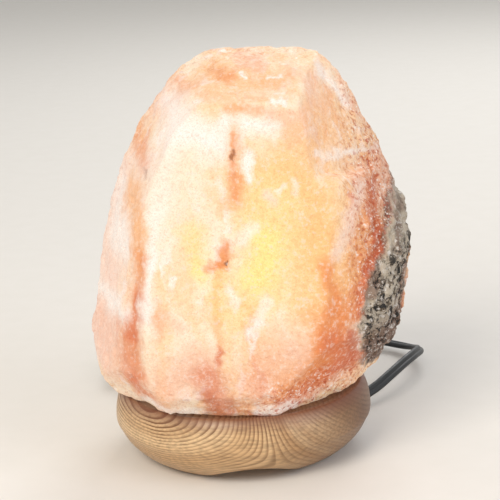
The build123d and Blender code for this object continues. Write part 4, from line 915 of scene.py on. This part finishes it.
def makeSurfaceTree():
    tree = bpy.data.node_groups.new("hewnSurface", "GeometryNodeTree")
    tree.interface.new_socket("Geometry", in_out="INPUT", socket_type="NodeSocketGeometry")
    for name in hewnLook:
        tree.interface.new_socket(name, in_out="INPUT", socket_type="NodeSocketFloat")
    for name in ("lowest", "highest"):
        tree.interface.new_socket(name, in_out="INPUT", socket_type="NodeSocketVector")
    tree.interface.new_socket("salt", in_out="INPUT", socket_type="NodeSocketMaterial")
    tree.interface.new_socket("Geometry", in_out="OUTPUT", socket_type="NodeSocketGeometry")
    given = tree.nodes.new("NodeGroupInput").outputs
    place = addNode(tree, "GeometryNodeInputPosition")
    across, away, up = addNode(tree, "ShaderNodeSeparateXYZ", {0: place}).node.outputs

    def waves(size, stretch, detail=2.0):
        spread = addNode(tree, "ShaderNodeVectorMath", {0: place, 1: stretch}, operation="MULTIPLY")
        scale = addNode(tree, "ShaderNodeMath", {0: 1 / mm, 1: given[size]}, operation="DIVIDE")
        pattern = {"Vector": spread, "W": given["seed"], "Scale": scale, "Detail": detail}
        return addNode(tree, "ShaderNodeTexNoise", pattern, noise_dimensions="4D")

    def scallops(size, stretch):  # hollows that meet in crisp edges
        push = {0: waves(size, (1, 1, 1)), "Scale": recut["scallopPush"] * mm}
        push = addNode(tree, "ShaderNodeVectorMath", push, operation="SCALE")
        spread = addNode(tree, "ShaderNodeVectorMath", {0: place, 1: push}, operation="ADD")
        spread = addNode(tree, "ShaderNodeVectorMath", {0: spread, 1: stretch}, operation="MULTIPLY")
        scale = addNode(tree, "ShaderNodeMath", {0: 1 / mm, 1: given[size]}, operation="DIVIDE")
        cells = {"Vector": spread, "W": given["seed"], "Scale": scale}
        gap = addNode(tree, "ShaderNodeTexVoronoi", cells, voronoi_dimensions="4D")
        return addNode(tree, "ShaderNodeMapRange", {0: gap, 1: 0.75, 2: 0.1}, **eased)

    low, high = recut["crackUp"]
    left, right = recut["crackAcross"]
    crackAt = {0: up, 1: low * mm, 2: high * mm, 3: left * mm, 4: right * mm}
    crackAt = addNode(tree, "ShaderNodeMapRange", crackAt)
    fromCrack = addNode(tree, "ShaderNodeMath", {0: across, 1: crackAt}, operation="SUBTRACT")
    fromCrack = addNode(tree, "ShaderNodeMath", {0: fromCrack}, operation="ABSOLUTE")
    fromAxis = addNode(tree, "ShaderNodeVectorMath", {0: place, 1: (1, 1, 0)}, operation="MULTIPLY")
    fromAxis = addNode(tree, "ShaderNodeVectorMath", {0: fromAxis}, 1, operation="LENGTH")
    axes = {"across": across, "away": away, "up": up, "fromCrack": fromCrack, "fromAxis": fromAxis}
    zones = {}
    for name, (join, edges) in hewnZones.items():
        for axis, start, full in edges:
            zone = addNode(tree, "ShaderNodeMapRange", {0: axes[axis], 1: start * mm, 2: full * mm}, **eased)
            if name in zones:
                zone = addNode(tree, "ShaderNodeMath", {0: zones[name], 1: zone}, operation=join)
            zones[name] = zone
    rugged = addNode(tree, "ShaderNodeMath", {0: zones["rugged"], 1: zones["lowRight"]}, operation="MAXIMUM")

    # each mark: its pattern, its depth, then where it is cut or its shares on smooth and rugged parts
    broad, fluted = waves("waveSize", (1, 1, 0.7)), waves("fluteSize", (1, 1, 0.3))
    broken = waves("chipSize", (1.2, 1.2, 0.9), 4.0)
    broad = addNode(tree, "ShaderNodeMapRange", {0: broad, 1: 0.3, 2: 0.7}, **eased)
    fluted = addNode(tree, "ShaderNodeMapRange", {0: fluted, 1: 0.35, 2: 0.65}, **eased)
    broken = addNode(tree, "ShaderNodeMapRange", {0: broken, 1: 0.38, 2: 0.62}, **eased)
    marks = (
        (broad, "waveDepth", None),
        (scallops("dentSize", (1, 1, 0.75)), "dentDepth", (0.35, 1.0)),
        (scallops("chipSize", (1, 1, 0.9)), "chipDepth", (0.25, 1.4)),
        (fluted, "fluteDepth", None),
        (waves("grainSize", (1, 1, 1)), "grainDepth", (0.8, 1.7)),
        (broken, "clayDepth", zones["clay"]),
        (zones["crack"], "crackDepth", None),
    )
    cut = None
    for pattern, depth, share in marks:
        mark = addNode(tree, "ShaderNodeMath", {0: pattern, 1: given[depth]}, operation="MULTIPLY")
        if isinstance(share, tuple):
            share = addNode(tree, "ShaderNodeMapRange", {0: rugged, 3: share[0], 4: share[1]}, **eased)
        if share is not None:
            mark = addNode(tree, "ShaderNodeMath", {0: mark, 1: share}, operation="MULTIPLY")
        if cut is not None:
            mark = addNode(tree, "ShaderNodeMath", {0: cut, 1: mark}, operation="ADD")
        cut = mark
    cut = addNode(tree, "ShaderNodeMath", {0: cut, 1: given["proud"]}, operation="SUBTRACT")
    # the bore and the sole stay as drilled and sawn; -mm makes a depth in mm a step inwards in metres
    for share in (zones["offBore"], zones["offSole"], -mm):
        cut = addNode(tree, "ShaderNodeMath", {0: cut, 1: share}, operation="MULTIPLY")
    normal = addNode(tree, "GeometryNodeInputNormal")
    offset = addNode(tree, "ShaderNodeVectorMath", {0: normal, "Scale": cut}, operation="SCALE")
    moved = addNode(tree, "ShaderNodeVectorMath", {0: place, 1: offset}, operation="ADD")
    # nothing goes past the box of the model's own block
    moved = addNode(tree, "ShaderNodeVectorMath", {0: moved, 1: given["lowest"]}, operation="MAXIMUM")
    moved = addNode(tree, "ShaderNodeVectorMath", {0: moved, 1: given["highest"]}, operation="MINIMUM")
    shaped = addNode(tree, "GeometryNodeSetPosition", {"Geometry": given["Geometry"], "Position": moved})
    shaped = addNode(tree, "GeometryNodeSetShadeSmooth", {"Geometry": shaped})
    shaped = addNode(tree, "GeometryNodeRealizeInstances", {"Geometry": shaped})
    shaped = addNode(tree, "GeometryNodeSetMaterial", {"Geometry": shaped, "Material": given["salt"]})
    tree.links.new(shaped, tree.nodes.new("NodeGroupOutput").inputs["Geometry"])
    return tree


block = nodes["salt_crystal"].data.copy()
build = bmesh.new()
build.from_mesh(block)
bmesh.ops.remove_doubles(build, verts=build.verts, dist=recut["weld"] * mm)
build.to_mesh(block)
build.free()
roughBlock = newPiece("roughBlock", block)
remesh = roughBlock.modifiers.new("remesh", "REMESH")
remesh.mode = "VOXEL"
remesh.voxel_size = recut["voxel"] * mm
soften = roughBlock.modifiers.new("soften", "SMOOTH")
soften.factor = recut["softenFactor"]
soften.iterations = recut["soften"]
surfaceTree = makeSurfaceTree()
hewn = roughBlock.modifiers.new("hewn", "NODES")
hewn.node_group = surfaceTree
lowest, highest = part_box("salt_crystal")
hewnInputs = {**hewnLook, "lowest": lowest, "highest": highest, "salt": rockSalt}
for item in surfaceTree.interface.items_tree:
    if item.in_out == "INPUT" and item.name in hewnInputs:
        value = hewnInputs[item.name]
        hewn[item.identifier] = float(value) if item.socket_type == "NodeSocketFloat" else value
bpy.context.view_layer.update()
shapedMesh = bpy.data.meshes.new_from_object(roughBlock.evaluated_get(bpy.context.evaluated_depsgraph_get()))
bpy.data.objects.remove(roughBlock)
crystal = newPiece("saltCrystal", shapedMesh, rockSalt, "lamp_body")
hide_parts("salt_crystal")
print("crystal triangles", sum(len(face.vertices) - 2 for face in shapedMesh.polygons))

inDimmer = [name for name in nodes if name.startswith("dimmer_")]
dimmerPieces = [nodes[name] for name in inDimmer if name not in ("dimmer_lead", "dimmer_strain_reliefs")]
dimmerPieces += [dimmerReliefs]

print("done")
